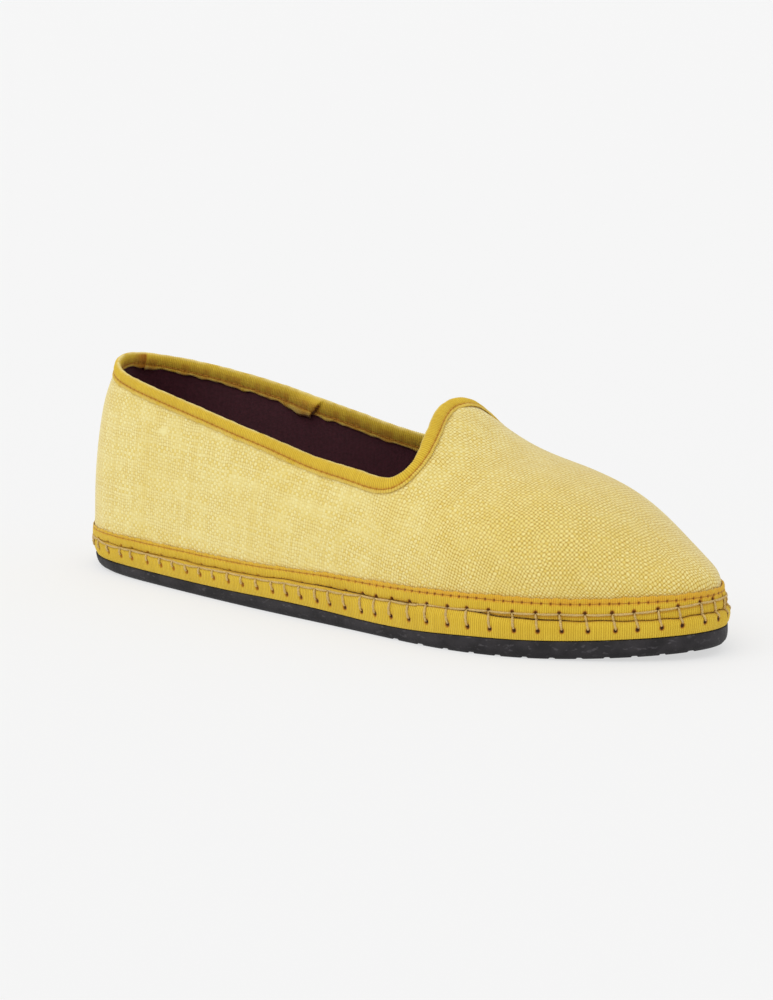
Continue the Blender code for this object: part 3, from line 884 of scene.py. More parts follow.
def cut_pattern(places):
    """Lays the upper flat as the cloth was cut, so that a weave can follow it: metres in the cloth."""
    turn, rise = places[..., 0], places[..., 1]
    solid = last_point(turn, rise)
    half = len(places) // 2
    fall = (solid[..., 2].max() - solid[..., 2])[..., None]
    flat = solid[..., :2] - outline_normal(turn) * PATTERN_PUSH * fall
    climb = np.concatenate([
        np.zeros((len(places), 1)), np.cumsum(np.linalg.norm(np.diff(solid, axis=1), axis=-1), axis=1)
    ], axis=1)
    travel = travel_round(turn[:, 0])
    back = np.minimum(travel, OUTLINE_LENGTH - travel)
    for edge, way, side in ((SIDE_FAN.columns, -1, -1.0), (len(places) - 1 - SIDE_FAN.columns, 1, 1.0)):
        first = flat[edge, 0] - flat[edge, -1]
        first /= np.linalg.norm(first)
        for column in range(edge + way, -1 if way < 0 else len(places), way):
            share = min(abs(column - edge) / PATTERN_TURN, 1.0)
            heading = (1.0 - share) * first + share * np.array([0.0, side])
            heading /= np.linalg.norm(heading)
            foot = flat[column - way, 0] - np.array([abs(back[column] - back[column - way]), 0.0])
            flat[column] = foot - climb[column][:, None] * heading
    number = np.arange(flat.shape[0] * flat.shape[1]).reshape(flat.shape[:2])
    pairs = [(number[1:], number[:-1]), (number[:, 1:], number[:, :-1])]
    pairs += [(number[1:, 1:], number[:-1, :-1]), (number[1:, :-1], number[:-1, 1:])]
    first = np.concatenate([a.ravel() for a, _ in pairs])
    second = np.concatenate([b.ravel() for _, b in pairs])
    solid = solid.reshape(-1, 3)
    rest = np.linalg.norm(solid[first] - solid[second], axis=1)
    keep = rest > WELD
    first, second, rest = first[keep], second[keep], rest[keep]
    share = np.bincount(first, minlength=number.size) + np.bincount(second, minlength=number.size)
    peak = SIDE_FAN.columns + THROAT_FAN.columns
    ridge_columns = np.arange(peak, half)
    one, other = number[ridge_columns, -1], number[len(places) - 1 - ridge_columns, -1]
    flat = flat.reshape(-1, 2)
    for _ in range(PATTERN_ROUNDS):
        gap = flat[first] - flat[second]
        length = np.linalg.norm(gap, axis=1)
        pull = (0.5 * (rest - length) / np.maximum(length, WELD))[:, None] * gap
        move = np.stack([
            np.bincount(first, pull[:, k], number.size) - np.bincount(second, pull[:, k], number.size)
            for k in range(2)
        ], axis=1)
        flat = flat + PATTERN_EASE * move / share[:, None]
        middle = 0.5 * (flat[one] + flat[other])
        flat[one] = middle
        flat[other] = middle
    return flat.reshape(len(places), -1, 2)


PATTERN_PUSH = 0.85
PATTERN_TURN = 8.0
PATTERN_ROUNDS = 6000
PATTERN_EASE = 1.6


def finer(grid, columns, rows):
    """A coarse grid of values read at more columns and rows."""
    at = np.linspace(0.0, len(grid) - 1.0, columns)
    low = np.clip(at.astype(int), 0, len(grid) - 2)
    share = (at - low)[:, None, None]
    wide = grid[low] * (1.0 - share) + grid[low + 1] * share
    at = np.linspace(0.0, grid.shape[1] - 1.0, rows)
    low = np.clip(at.astype(int), 0, grid.shape[1] - 2)
    share = (at - low)[None, :, None]
    return wide[:, low] * (1.0 - share) + wide[:, low + 1] * share


# ---- Making pieces ----

# marks: pale slubs on the linen, painted shade on the tapes and along the rubber's lower edge; tint: the
# tapes' second colour, with a painted highlight along the binding's fold.
Sheet = namedtuple("Sheet", "places cloth marks tint", defaults=(0.0, 0.0))


def lay_cloth(name, *sheets):
    """Grids of cloth with their vertices at the given places; edges that meet are sewn together."""
    mesh = bmesh.new()
    for sheet in sheets:
        first = len(mesh.verts)
        around, across = sheet.places.shape[:2]
        bmesh.ops.create_grid(mesh, x_segments=around - 1, y_segments=across - 1, size=0.5)
        mesh.verts.ensure_lookup_table()
        for i, place in enumerate(sheet.places.transpose(1, 0, 2).reshape(-1, 3)):
            mesh.verts[first + i].co = place
    data = bpy.data.meshes.new(name)
    mesh.to_mesh(data)
    corners = np.empty(len(data.loops), np.int32)
    data.loops.foreach_get("vertex_index", corners)
    cloth = np.concatenate([sheet.cloth.transpose(1, 0, 2).reshape(-1, 2) for sheet in sheets])
    data.uv_layers.new(name="cloth").uv.foreach_set("vector", cloth[corners].astype(np.float32).ravel())
    for name in ("marks", "tint"):
        values = [np.broadcast_to(getattr(sheet, name), sheet.places.shape[:2]).T.ravel() for sheet in sheets]
        layer = data.attributes.new(name, "FLOAT", "POINT")
        layer.data.foreach_set("value", np.concatenate(values).astype(np.float32))
    mesh.clear()
    mesh.from_mesh(data)
    bmesh.ops.remove_doubles(mesh, verts=mesh.verts, dist=WELD)
    mesh.to_mesh(data)
    mesh.free()
    data.shade_smooth()
    return data


def add_piece(name, data, look, replaced=()):
    """Puts a finished mesh in the scene as a piece of the shoe."""
    data.materials.append(look)
    piece = bpy.data.objects.new(name, data)
    bpy.context.scene.collection.objects.link(piece)
    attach(piece, "root")
    if replaced:
        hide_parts(*replaced)
    return piece


def thicken(piece, thickness):
    """Gives an open sheet its thickness, built inward."""
    wall = piece.modifiers.new("thickness", "SOLIDIFY")
    wall.thickness = thickness
    wall.offset = -1.0
    wall.use_even_offset = False


def smooth_step(value):
    share = np.clip(value, 0.0, 1.0)
    return share * share * (3.0 - 2.0 * share)


def hump(value):
    """1 at zero, falling softly to 0 on both sides."""
    return np.exp(-np.asarray(value) ** 2)


def wander(at, lap, waves, seed):
    """A soft irregular wave round a closed edge, about -1 to 1."""
    phases = np.random.default_rng(seed).uniform(0.0, 2.0 * math.pi, len(waves))
    turns = [2.0 * math.pi * round(lap / wave) * at / lap for wave in waves]
    return sum(np.sin(turn + phase) for turn, phase in zip(turns, phases)) / len(waves)


# ---- The upper ----

class UpperCloth:
    """The upper's outer face as a grid: columns round the shoe, rows from the hem to the collar."""

    def __init__(self, fineness, rows):
        self.pattern = finer(
            cut_pattern(upper_places(1, PATTERN_ROWS)),
            fineness * 2 * (len(foot_turns(1)) - 1) + 1, rows + 1,
        )
        grid = upper_places(fineness, rows)
        turn, rise = grid[..., 0], grid[..., 1]
        face, normal = last_point(turn, rise), outward(turn, rise)
        peak = (SIDE_FAN.columns + THROAT_FAN.columns) * fineness
        ridge = slice(peak, len(grid) - peak)
        both = normal[ridge, -1] + normal[::-1][ridge, -1]
        normal[ridge, -1] = both / np.linalg.norm(both, axis=-1, keepdims=True)
        shares = np.linspace(0.0, 1.0, HEM_ROWS + 1)[:-1]
        foot_turn = turn[:, 0]
        top = tape_top_at(outline(foot_turn, upper_inset(foot_turn))[..., 0])
        hem = [
            level(foot_turn, upper_inset(foot_turn), SEAM_HEIGHT + s * (top - SEAM_HEIGHT)) for s in shares
        ]
        away = self.pattern[:, 0] - self.pattern[:, 1]
        away /= np.linalg.norm(away, axis=-1, keepdims=True)
        drops = [((1.0 - s) * (top - SEAM_HEIGHT))[:, None] for s in shares]
        below = np.stack([self.pattern[:, 0] + away * drop for drop in drops], axis=1)
        self.face = np.concatenate([np.stack(hem, axis=1), face], axis=1)
        self.normal = np.concatenate([np.repeat(normal[:, :1], HEM_ROWS, axis=1), normal], axis=1)
        self.pattern = np.concatenate([below, self.pattern], axis=1)
        self.turn = np.concatenate([np.repeat(turn[:, :1], HEM_ROWS, axis=1), turn], axis=1)
        self.rise = np.concatenate([np.zeros((len(turn), HEM_ROWS)), rise], axis=1)
        x = outline(self.turn, upper_inset(self.turn))[..., 0]
        self.above_tape = self.face[..., 2] - toe_lift(self.face[..., 0]) - tape_top_at(x)
        at = np.arange(COLLAR_POINTS) * collar_edge.length / COLLAR_POINTS
        edge, _ = collar_edge.places(at, 0.0, 0.0)
        gaps = np.stack([np.linalg.norm(self.face - point, axis=-1) for point in edge])
        self.below_collar = gaps.min(axis=0)
        near = np.exp(-(gaps ** 2 - self.below_collar ** 2) / (2.0 * LEAN_EASE ** 2))
        leans = collar_trim["lean"](at / collar_edge.length)[:, None, None]
        lean = (near * leans).sum(axis=0) / near.sum(axis=0)
        self.face = self.face + self.normal * (lean * hump(self.below_collar / LEAN_DEPTH))[..., None]

    def crease_gaps(self, crease):
        """Distances along and across a crease in the cloth."""
        turn = float(turn_at(x_at(crease.along)))
        turn = 2.0 * math.pi - turn if crease.inner else turn
        miss = np.hypot(self.turn - turn, self.rise - crease.rise)
        gap = self.pattern - self.pattern.reshape(-1, 2)[int(np.argmin(miss))]
        angle = math.radians(crease.angle)
        along = gap[..., 0] * math.cos(angle) + gap[..., 1] * math.sin(angle)
        across = gap[..., 1] * math.cos(angle) - gap[..., 0] * math.sin(angle)
        return along, across

    def strokes(self, creases):
        """Soft strokes laid over the cloth, each dying away from its middle."""
        total = np.zeros(self.turn.shape)
        for crease in creases:
            along, across = self.crease_gaps(crease)
            total += crease.height * hump(along / crease.half_length) * hump(across / crease.half_width)
        return total

    def gather_heights(self):
        """Small gathers over the tape round the toe, where the cloth is pulled in."""
        foot = travel_round(self.turn)
        wave = wander(foot, OUTLINE_LENGTH, GATHER_WAVES, SEED)
        toe = np.clip(-np.cos(self.turn), 0.0, 1.0) ** 2
        return GATHER_HEIGHT * wave * (0.35 + 0.65 * toe) * hump(self.above_tape / GATHER_REACH)

    def relief(self):
        """How far the cloth stands off the last's own face."""
        drape = np.array([
            noise.noise(Vector(place) * DRAPE_SCALE) for place in self.face.reshape(-1, 3)
        ]).reshape(self.turn.shape)
        free = smooth_step((self.below_collar - 0.0035) / 0.008)
        off_tape = smooth_step(self.above_tape / 0.004)
        crown = last_point(turn_at(x_at(CROWN_ALONG)), 1.0)
        from_crown = np.linalg.norm(self.face - crown, axis=-1)
        off_binding = smooth_step((self.below_collar - 0.0026) / 0.005)
        swell = CROWN_HEIGHT * hump(from_crown / CROWN_REACH) * off_binding
        return swell + (self.strokes(CREASES) + DRAPE_HEIGHT * drape) * free * off_tape + (
            self.gather_heights() * free * smooth_step(self.above_tape / 0.001)
        )


COLLAR_POINTS = 200
LEAN_EASE = 0.003
LEAN_DEPTH = 0.010
CROWN_ALONG = 0.640
CROWN_HEIGHT = 0.0017
CROWN_REACH = 0.013
GATHER_WAVES = (0.0068, 0.0093, 0.0131)
GATHER_HEIGHT = 0.00022
GATHER_REACH = 0.0060
DRAPE_SCALE = 48.0
DRAPE_HEIGHT = 0.00022


# ---- Tapes and slabs ----

def half_turns(count):
    """Turns from heel to toe in even steps over the outer side, and the matching ones over the inner side."""
    toe = float(np.interp(math.pi, OUTLINE_TURNS, OUTLINE_TRAVEL))
    share = np.linspace(0.0, 1.0, count + 1)
    outer = turn_after(share * toe)
    inner = np.interp(OUTLINE_LENGTH - share * (OUTLINE_LENGTH - toe), OUTLINE_TRAVEL, OUTLINE_TURNS)
    outer[0], outer[-1], inner[0], inner[-1] = 0.0, math.pi, 2.0 * math.pi, math.pi
    return outer, inner


def rib_wave(number):
    """Height share of ribbed cloth at rib numbers."""
    return np.cos(2.0 * math.pi * np.asarray(number))


def slab_section(outer, inner, across):
    """Closed section of a slab at each step from heel to toe.

    The outer and inner edges are places[step, row, 3], told from the bottom up.
    """
    share = np.linspace(0.0, 1.0, across + 1)[None, 1:-1, None]
    over_top = outer[:, -1:] * (1.0 - share) + inner[:, -1:] * share
    under = inner[:, :1] * (1.0 - share) + outer[:, :1] * share
    return np.concatenate([outer, over_top, inner[:, ::-1], under, outer[:, :1]], axis=1)


def row_travel(places):
    """Distance over the cloth across its rows."""
    steps = np.linalg.norm(np.diff(places, axis=1), axis=-1)
    return np.concatenate([np.zeros((len(places), 1)), np.cumsum(steps, axis=1)], axis=1)


def ribbed_band(columns, marks, tints, lengths, section=None):
    """A band of cloth closed round its section, and closed round the shoe where it meets its own start."""
    places = np.stack(columns + columns[:1], axis=1)
    places[-1] = places[0]
    if section is None:
        section = row_travel(places).mean(axis=0)
    cloth = np.stack(np.broadcast_arrays(lengths[:, None], section[None, :]), axis=-1)
    return Sheet(places, cloth, np.stack(marks + marks[:1], axis=1), np.stack(tints + tints[:1], axis=1))


def hand_stitch_places(pitch):
    """Distance round the outline of each hand stitch, a little uneven."""
    spacing = np.interp(
        outline(OUTLINE_TURNS)[:, 0],
        [x_at(row.along) for row in HAND_SPACING], [row.share for row in HAND_SPACING],
    )
    middle = 0.5 * (spacing[1:] + spacing[:-1])
    passed = np.concatenate([[0.0], np.cumsum(np.diff(OUTLINE_TRAVEL) / (pitch * middle))])
    count = round(passed[-1])
    uneven = np.random.default_rng(SEED).uniform(-0.5, 0.5, count)
    number = np.arange(count) + 0.94 + HAND_UNEVEN * uneven
    return np.interp(number * passed[-1] / count, passed, OUTLINE_TRAVEL)


HAND_UNEVEN = 0.20
HEEL_FLATTENING = 0.85
STITCH_SLANT = 0.0011
HOLE_RADIUS = 0.00066
HOLE_DEPTH = 0.00070
HOLE_BEYOND = 0.00030


def hole_shade(turn):
    """How dark the painted shade in the needle holes is: darkest at the ball, fainter towards the heel."""
    return 0.50 + 0.45 * smooth_step((outline(turn)[..., 0] + 0.06) / 0.09)


def hole_marks(along, up, holes, radius):
    """How deep inside a needle hole each place lies, 0 to 1; up is its height over the line of holes."""
    gap = np.abs(along[:, None] - holes[None, :])
    gap = np.minimum(gap, OUTLINE_LENGTH - gap).min(axis=1)
    return hump(gap / radius) * hump(up / (1.15 * radius))


def edge_tape_surface(turn, share, out):
    """Outer face of the tape round the upper's edge: share of its height, distance out from the upper."""
    foot = stack_height("seam", turn)
    height = foot + share * (stack_height("tape", turn) - foot)
    return level(turn, upper_inset(turn) - GAP - out, height)


def edge_tape_out(turn, share):
    """Distance that the edge tape's outer face stands out: flatter round the heel."""
    front = EDGE_TAPE_SECTION[:EDGE_TAPE_FRONT_ROWS]
    out = np.interp(share, [row.up for row in front], [row.out for row in front])
    return TAPE_THICKNESS * out * (1.0 - HEEL_FLATTENING * heel_share(turn))


def capsule(mesh, place, forward, facing, length, width, height):
    """A short low stitch lying along forward on a face."""
    side = np.cross(facing, forward)
    side /= np.linalg.norm(side)
    lie = Matrix((side * width, facing * height, forward * length)).transposed().to_4x4()
    bmesh.ops.create_uvsphere(
        mesh, u_segments=8, v_segments=6, radius=0.5, matrix=Matrix.Translation(Vector(place)) @ lie
    )


def stitch_row(mesh, places, facings, share, thread, seed):
    """A run of machine stitches, one in each gap between neighbouring holes."""
    uneven = np.random.default_rng(seed).uniform(-1.0, 1.0, len(places))
    ahead = np.roll(places, -1, axis=0)
    for place, reach, facing, lean in zip(places, ahead - places, facings, uneven):
        length = float(np.linalg.norm(reach))
        forward = reach / length
        side = np.cross(facing, forward)
        forward = forward + side * STITCH_LEAN * lean
        forward /= np.linalg.norm(forward)
        middle = place + 0.5 * reach + facing * 0.18 * thread
        capsule(mesh, middle, forward, facing, share * length, thread, 0.8 * thread)


STITCH_LEAN = 0.07
STITCH_SHARE = 0.84


def cord_along(path, facing, thickness):
    """A twisted two-ply thread laid along a path, closed to a point at both ends."""
    path = np.asarray(path)
    travel = distance_along(path)
    forward = np.gradient(path, axis=0)
    forward /= np.linalg.norm(forward, axis=1, keepdims=True)
    side = np.cross(forward, facing)
    side /= np.linalg.norm(side, axis=1, keepdims=True)
    lift = np.cross(side, forward)
    angles = np.linspace(0.0, 2.0 * math.pi, THREAD_SIDES + 1)[None, :]
    ply = 1.0 + PLY_DEPTH * np.cos(2.0 * (angles - 2.0 * math.pi * travel[:, None] / THREAD_TWIST))
    narrow = np.clip(np.sin(math.pi * travel / travel[-1]), 0.0, 1.0)[:, None] ** 0.3
    radius = 0.5 * thickness * narrow * ply
    radius[0] = radius[-1] = 0.0
    across = np.cos(angles)[..., None] * side[:, None] + np.sin(angles)[..., None] * lift[:, None]
    places = path[:, None] + radius[..., None] * across
    cloth = np.stack(np.broadcast_arrays(travel[:, None], 0.5 * thickness * angles), axis=-1)
    return Sheet(places, cloth, 0.0)


THREAD_SIDES = 9
THREAD_TWIST = 0.0030
PLY_DEPTH = 0.18


# ---- Finishes ----

class Look:
    """A node material under construction."""

    def __init__(self, name, roughness):
        self.material = bpy.data.materials.new(name)
        self.material.use_nodes = True
        self.tree = self.material.node_tree
        self.shader = self.tree.nodes["Principled BSDF"]
        self.shader.inputs["Roughness"].default_value = roughness

    def put(self, socket, value):
        if isinstance(value, bpy.types.NodeSocket):
            self.tree.links.new(value, socket)
        elif hasattr(socket.default_value, "__len__") and len(socket.default_value) == 4:
            socket.default_value = (*tuple(value)[:3], 1.0)
        else:
            socket.default_value = value

    def node(self, kind, **settings):
        made = self.tree.nodes.new(kind)
        for name, value in settings.items():
            setattr(made, name, value)
        return made

    def math(self, operation, *values):
        made = self.node("ShaderNodeMath", operation=operation)
        for socket, value in zip(made.inputs, values):
            self.put(socket, value)
        return made.outputs[0]

    def smooth(self, value, low, high):
        """0 below low, 1 above high and an even ease between."""
        made = self.node("ShaderNodeMapRange", interpolation_type="SMOOTHSTEP")
        for socket, given in zip(made.inputs, (value, low, high, 0.0, 1.0)):
            self.put(socket, given)
        return made.outputs[0]

    def mix(self, share, first, second):
        made = self.node("ShaderNodeMix", data_type="RGBA")
        self.put(made.inputs["Factor"], share)
        self.put(made.inputs[6], first)
        self.put(made.inputs[7], second)
        return made.outputs[2]

    def cloth(self):
        """Metres along the cloth and across it."""
        uv = self.node("ShaderNodeUVMap", uv_map="cloth")
        parts = self.node("ShaderNodeSeparateXYZ")
        self.put(parts.inputs[0], uv.outputs[0])
        return parts.outputs[0], parts.outputs[1]

    # The marks attribute: slubs on the linen, painted shade on the tapes and the rubber.
    def marks(self):
        return self.node("ShaderNodeAttribute", attribute_name="marks").outputs["Fac"]

    def tint(self):
        return self.node("ShaderNodeAttribute", attribute_name="tint").outputs["Fac"]

    def place(self):
        return self.node("ShaderNodeTexCoord").outputs["Object"]

    def join(self, x, y, z=0.0):
        made = self.node("ShaderNodeCombineXYZ")
        for socket, value in zip(made.inputs, (x, y, z)):
            self.put(socket, value)
        return made.outputs[0]

    def noise(self, vector, scale, detail=2.0):
        made = self.node("ShaderNodeTexNoise")
        self.put(made.inputs["Vector"], vector)
        for name, value in (("Scale", scale), ("Detail", detail)):
            made.inputs[name].default_value = value
        return made.outputs["Fac"]

    def chance(self, vector):
        """A steady random number for each whole-numbered place."""
        made = self.node("ShaderNodeTexWhiteNoise", noise_dimensions="3D")
        self.put(made.inputs["Vector"], vector)
        return made.outputs["Value"]

    def bump(self, height, distance, strength=1.0):
        made = self.node("ShaderNodeBump")
        made.inputs["Strength"].default_value = strength
        made.inputs["Distance"].default_value = distance
        self.put(made.inputs["Height"], height)
        return made.outputs[0]

    def finish(self, colour, normal=None, roughness=None, specular=0.3, sheen=0.0, sheen_tint=None):
        self.put(self.shader.inputs["Base Color"], colour)
        if normal is not None:
            self.put(self.shader.inputs["Normal"], normal)
        if roughness is not None:
            self.put(self.shader.inputs["Roughness"], roughness)
        self.shader.inputs["Specular IOR Level"].default_value = specular
        self.shader.inputs["Sheen Weight"].default_value = sheen
        if sheen_tint is not None:
            self.shader.inputs["Sheen Tint"].default_value = (*sheen_tint, 1.0)
        return self.material


def finished(name, make):
    """The material of that name, made on its first use."""
    return bpy.data.materials.get(name) or make(name)


def linen(name):
    """Plain-woven linen: pale warp over golden weft, uneven threads and a few slubs."""
    sizes, colours = bpy.context.scene.shoe_sizes, bpy.context.scene.shoe_colours
    look = Look(name, 0.80)
    along, across = look.cloth()
    both = look.join(along, across)
    sway = look.math("SUBTRACT", look.noise(both, 190.0, 3.0), 0.5)
    sway_up = look.math("SUBTRACT", look.noise(look.join(across, along, 0.7), 190.0, 3.0), 0.5)
    warp_at = look.math("MULTIPLY_ADD", sway, 2.0, look.math("DIVIDE", along, sizes.thread_pitch))
    weft_at = look.math("MULTIPLY_ADD", sway_up, 2.0, look.math("DIVIDE", across, sizes.thread_pitch * 0.95))
    warp_number = look.math("FLOOR", warp_at)
    weft_number = look.math("FLOOR", weft_at)
    warp_part = look.math("SUBTRACT", look.math("FRACT", warp_at), 0.5)
    weft_part = look.math("SUBTRACT", look.math("FRACT", weft_at), 0.5)
    warp_crown = look.math("COSINE", look.math("MULTIPLY", warp_part, math.pi))
    weft_crown = look.math("COSINE", look.math("MULTIPLY", weft_part, math.pi))
    over = look.math("PINGPONG", look.math("ADD", warp_number, weft_number), 1.0)
    under = look.math("SUBTRACT", 1.0, over)
    warp_top = look.math("POWER", warp_crown, 0.7)
    warp_top = look.math("MULTIPLY", warp_top, look.math("MULTIPLY_ADD", weft_crown, 0.65, 0.35))
    weft_top = look.math("POWER", weft_crown, 0.7)
    weft_top = look.math("MULTIPLY", weft_top, look.math("MULTIPLY_ADD", warp_crown, 0.55, 0.30))
    height = look.math("MULTIPLY_ADD", warp_top, over, look.math("MULTIPLY", weft_top, under))
    warp_piece = look.math("FLOOR", look.math("MULTIPLY", across, 22.0))
    weft_piece = look.math("FLOOR", look.math("MULTIPLY", along, 22.0))
    warp_tint = look.chance(look.join(warp_number, warp_piece, 1.0))
    weft_tint = look.chance(look.join(weft_number, weft_piece, 5.0))
    warp_colour = look.mix(look.math("MULTIPLY", warp_tint, 0.60), colours.warp, colours.weft)
    weft_colour = look.mix(look.math("MULTIPLY", weft_tint, 0.55), colours.weft, colours.warp)
    thread = look.mix(over, weft_colour, warp_colour)
    crossing = look.smooth(look.chance(look.join(warp_number, weft_number, 9.0)), 0.55, 0.95)
    thread = look.mix(look.math("MULTIPLY", crossing, 0.38), thread, colours.warp)
    streaks = look.join(look.math("MULTIPLY", along, 60.0), look.math("MULTIPLY", across, 700.0))
    slub = look.math("MULTIPLY", look.smooth(look.noise(streaks, 1.0, 1.0), 0.68, 0.78), 0.38)
    slub = look.math("MAXIMUM", slub, look.marks())
    thread = look.mix(slub, thread, colours.warp)
    cloudy = look.noise(look.place(), 55.0, 3.0)
    thread = look.mix(look.math("MULTIPLY", look.smooth(cloudy, 0.35, 0.75), 0.21), thread, colours.weft)
    gaps = look.math("SUBTRACT", 1.0, look.smooth(height, 0.08, 0.62))
    patches = look.smooth(look.noise(both, 130.0, 2.0), 0.30, 0.70)
    place = look.node("ShaderNodeSeparateXYZ")
    look.put(place.inputs[0], look.place())
    # Towards the toe the weave's gaps grow darker and the threads more golden: painted shade on the forefoot.
    forward = look.smooth(place.outputs[0], -0.005, 0.085)
    depth = look.math("MULTIPLY_ADD", patches, 0.50, look.math("MULTIPLY_ADD", forward, 0.78, 0.16))
    gaps = look.math("MULTIPLY", look.math("MULTIPLY", gaps, depth), look.math("SUBTRACT", 1.0, look.marks()))
    thread = look.mix(look.math("MULTIPLY", forward, 0.25), thread, colours.weft)
    colour = look.mix(gaps, thread, colours.weave_gap)
    fuzz = look.noise(both, 5200.0, 2.0)
    raised = look.math("MULTIPLY_ADD", fuzz, 0.10, look.math("MULTIPLY_ADD", slub, 0.5, height))
    normal = look.bump(raised, 0.00018, 0.7)
    return look.finish(colour, normal, specular=0.20, sheen=0.45, sheen_tint=tone(255, 250, 232))


def ribbed_tape(name, second, on_crests):
    """Ribbed cotton tape: bright rib crests over valleys darkened with painted shade, a second colour where
    it is tinted, and painted shade where it is marked.
    """
    sizes, colours = bpy.context.scene.shoe_sizes, bpy.context.scene.shoe_colours
    look = Look(name, 0.72)
    along, across = look.cloth()
    rib = look.math("COSINE", look.math("MULTIPLY", along, 2.0 * math.pi / sizes.rib_pitch))
    crest = look.math("MULTIPLY_ADD", rib, 0.5, 0.5)
    number = look.math("ROUND", look.math("DIVIDE", along, sizes.rib_pitch))
    chance = look.chance(look.join(number, look.math("FLOOR", look.math("MULTIPLY", across, 180.0)), 2.0))
    picks = look.math("MULTIPLY", across, 2.0 * math.pi / (0.55 * sizes.rib_pitch))
    pick = look.math("COSINE", look.math("MULTIPLY_ADD", number, math.pi, picks))
    fibre = look.noise(look.join(along, look.math("MULTIPLY", across, 0.4)), 3800.0, 2.0)
    share = look.math("MULTIPLY_ADD", pick, 0.06, look.math("MULTIPLY", fibre, 0.45))
    share = look.math("MULTIPLY_ADD", crest, 0.50, share)
    base = look.mix(look.math("MULTIPLY", chance, 0.30), colours.tape, colours.tape_valley)
    # Second colour in patches where the tint attribute is set: a painted highlight along the binding's fold,
    # the binding's paler lower edges, and the edge tape's orange top.
    tint_and_highlight = look.math("MULTIPLY", look.tint(), look.smooth(look.noise(look.place(), 260.0, 2.0), 0.25, 0.50))
    base = look.mix(look.math("MULTIPLY", tint_and_highlight, on_crests), base, second)
    valley = look.mix(tint_and_highlight, colours.tape_valley, tuple(0.85 * c for c in second))
    colour = look.mix(look.smooth(share, 0.10, 0.60), valley, base)
    cloudy = look.noise(look.place(), 70.0, 3.0)
    colour = look.mix(look.math("MULTIPLY", look.smooth(cloudy, 0.4, 0.8), 0.25), colour, colours.tape_valley)
    # The marks attribute holds painted shade: rusty at its lighter values, near black in the needle holes.
    colour = look.mix(look.smooth(look.marks(), 0.0, 0.5), colour, colours.rusty_shade)
    colour = look.mix(look.smooth(look.marks(), 0.4, 1.0), colour, colours.shade)
    raised = look.math("MULTIPLY_ADD", pick, 0.25, look.math("MULTIPLY_ADD", crest, 0.6, fibre))
    return look.finish(colour, look.bump(raised, 0.00008, 0.8), specular=0.20, sheen=0.15)


def binding_tape(name):
    return ribbed_tape(name, bpy.context.scene.shoe_colours.fold, 1.0)


def upper_tape(name):
    return ribbed_tape(name, bpy.context.scene.shoe_colours.tape_edge, 0.55)


def sole_tape(name):
    return ribbed_tape(name, bpy.context.scene.shoe_colours.tape, 1.0)


def spun_thread(name, colour):
    """Twisted thread with fine fibres."""
    look = Look(name, 0.65)
    place = look.place()
    fibre = look.noise(place, 3000.0, 3.0)
    patch = look.noise(place, 180.0, 2.0)
    darker = tuple(0.62 * c for c in colour)
    tinted = look.mix(look.smooth(fibre, 0.35, 0.7), darker, colour)
    tinted = look.mix(look.math("MULTIPLY", look.smooth(patch, 0.35, 0.7), 0.30), tinted, darker)
    return look.finish(tinted, look.bump(fibre, 0.00008, 0.7), specular=0.3, sheen=0.1)


def hand_thread(name):
    return spun_thread(name, tuple(bpy.context.scene.shoe_colours.hand_thread))


def seam_thread(name):
    return spun_thread(name, tuple(bpy.context.scene.shoe_colours.seam_thread))


def plum_cloth(name):
    """Closely woven plum lining with a faint nap."""
    colours = bpy.context.scene.shoe_colours
    look = Look(name, 0.85)
    along, across = look.cloth()
    turn = 2.0 * math.pi / LINING_PITCH
    one = look.math("SINE", look.math("MULTIPLY", look.math("ADD", along, across), turn))
    other = look.math("SINE", look.math("MULTIPLY", look.math("SUBTRACT", along, across), turn))
    weave = look.math("MULTIPLY", one, other)
    nap = look.noise(look.place(), 900.0, 3.0)
    patch = look.noise(look.place(), 35.0, 2.0)
    dark = tuple(0.55 * c for c in colours.lining)
    share = look.math("MULTIPLY_ADD", weave, 0.25, nap)
    colour = look.mix(look.smooth(share, 0.25, 0.75), dark, colours.lining)
    colour = look.mix(look.math("MULTIPLY", patch, 0.3), colour, dark)
    raised = look.math("MULTIPLY_ADD", weave, 0.5, nap)
    return look.finish(colour, look.bump(raised, 0.00010, 0.7), specular=0.2, sheen=0.25)


LINING_PITCH = 0.0011


def charcoal_rubber(name):
    """Matt moulded rubber with a fine grain, a few small nicks and painted shade darkening its lower edge."""
    colours = bpy.context.scene.shoe_colours
    look = Look(name, 0.62)
    place = look.place()
    grain = look.noise(place, 1500.0, 3.0)
    patch = look.noise(place, 150.0, 4.0)
    parts = look.node("ShaderNodeSeparateXYZ")
    look.put(parts.inputs[0], place)
    tall = look.math("MULTIPLY", parts.outputs[2], 2.0)
    nicked = look.noise(look.join(parts.outputs[0], parts.outputs[1], tall), 400.0, 3.0)
    nick = look.math("MULTIPLY", look.smooth(nicked, 0.58, 0.70), 0.50)
    dark = tuple(0.42 * c for c in colours.rubber)
    light = tuple(min(1.0, 2.2 * c + 0.02) for c in colours.rubber)
    colour = look.mix(look.smooth(patch, 0.3, 0.7), dark, colours.rubber)
    colour = look.mix(nick, colour, light)
    colour = look.mix(look.marks(), colour, tuple(0.25 * c for c in colours.rubber))
    roughness = look.math("MULTIPLY_ADD", grain, 0.25, 0.50)
    return look.finish(colour, look.bump(grain, 0.00012, 0.6), roughness=roughness, specular=0.25)


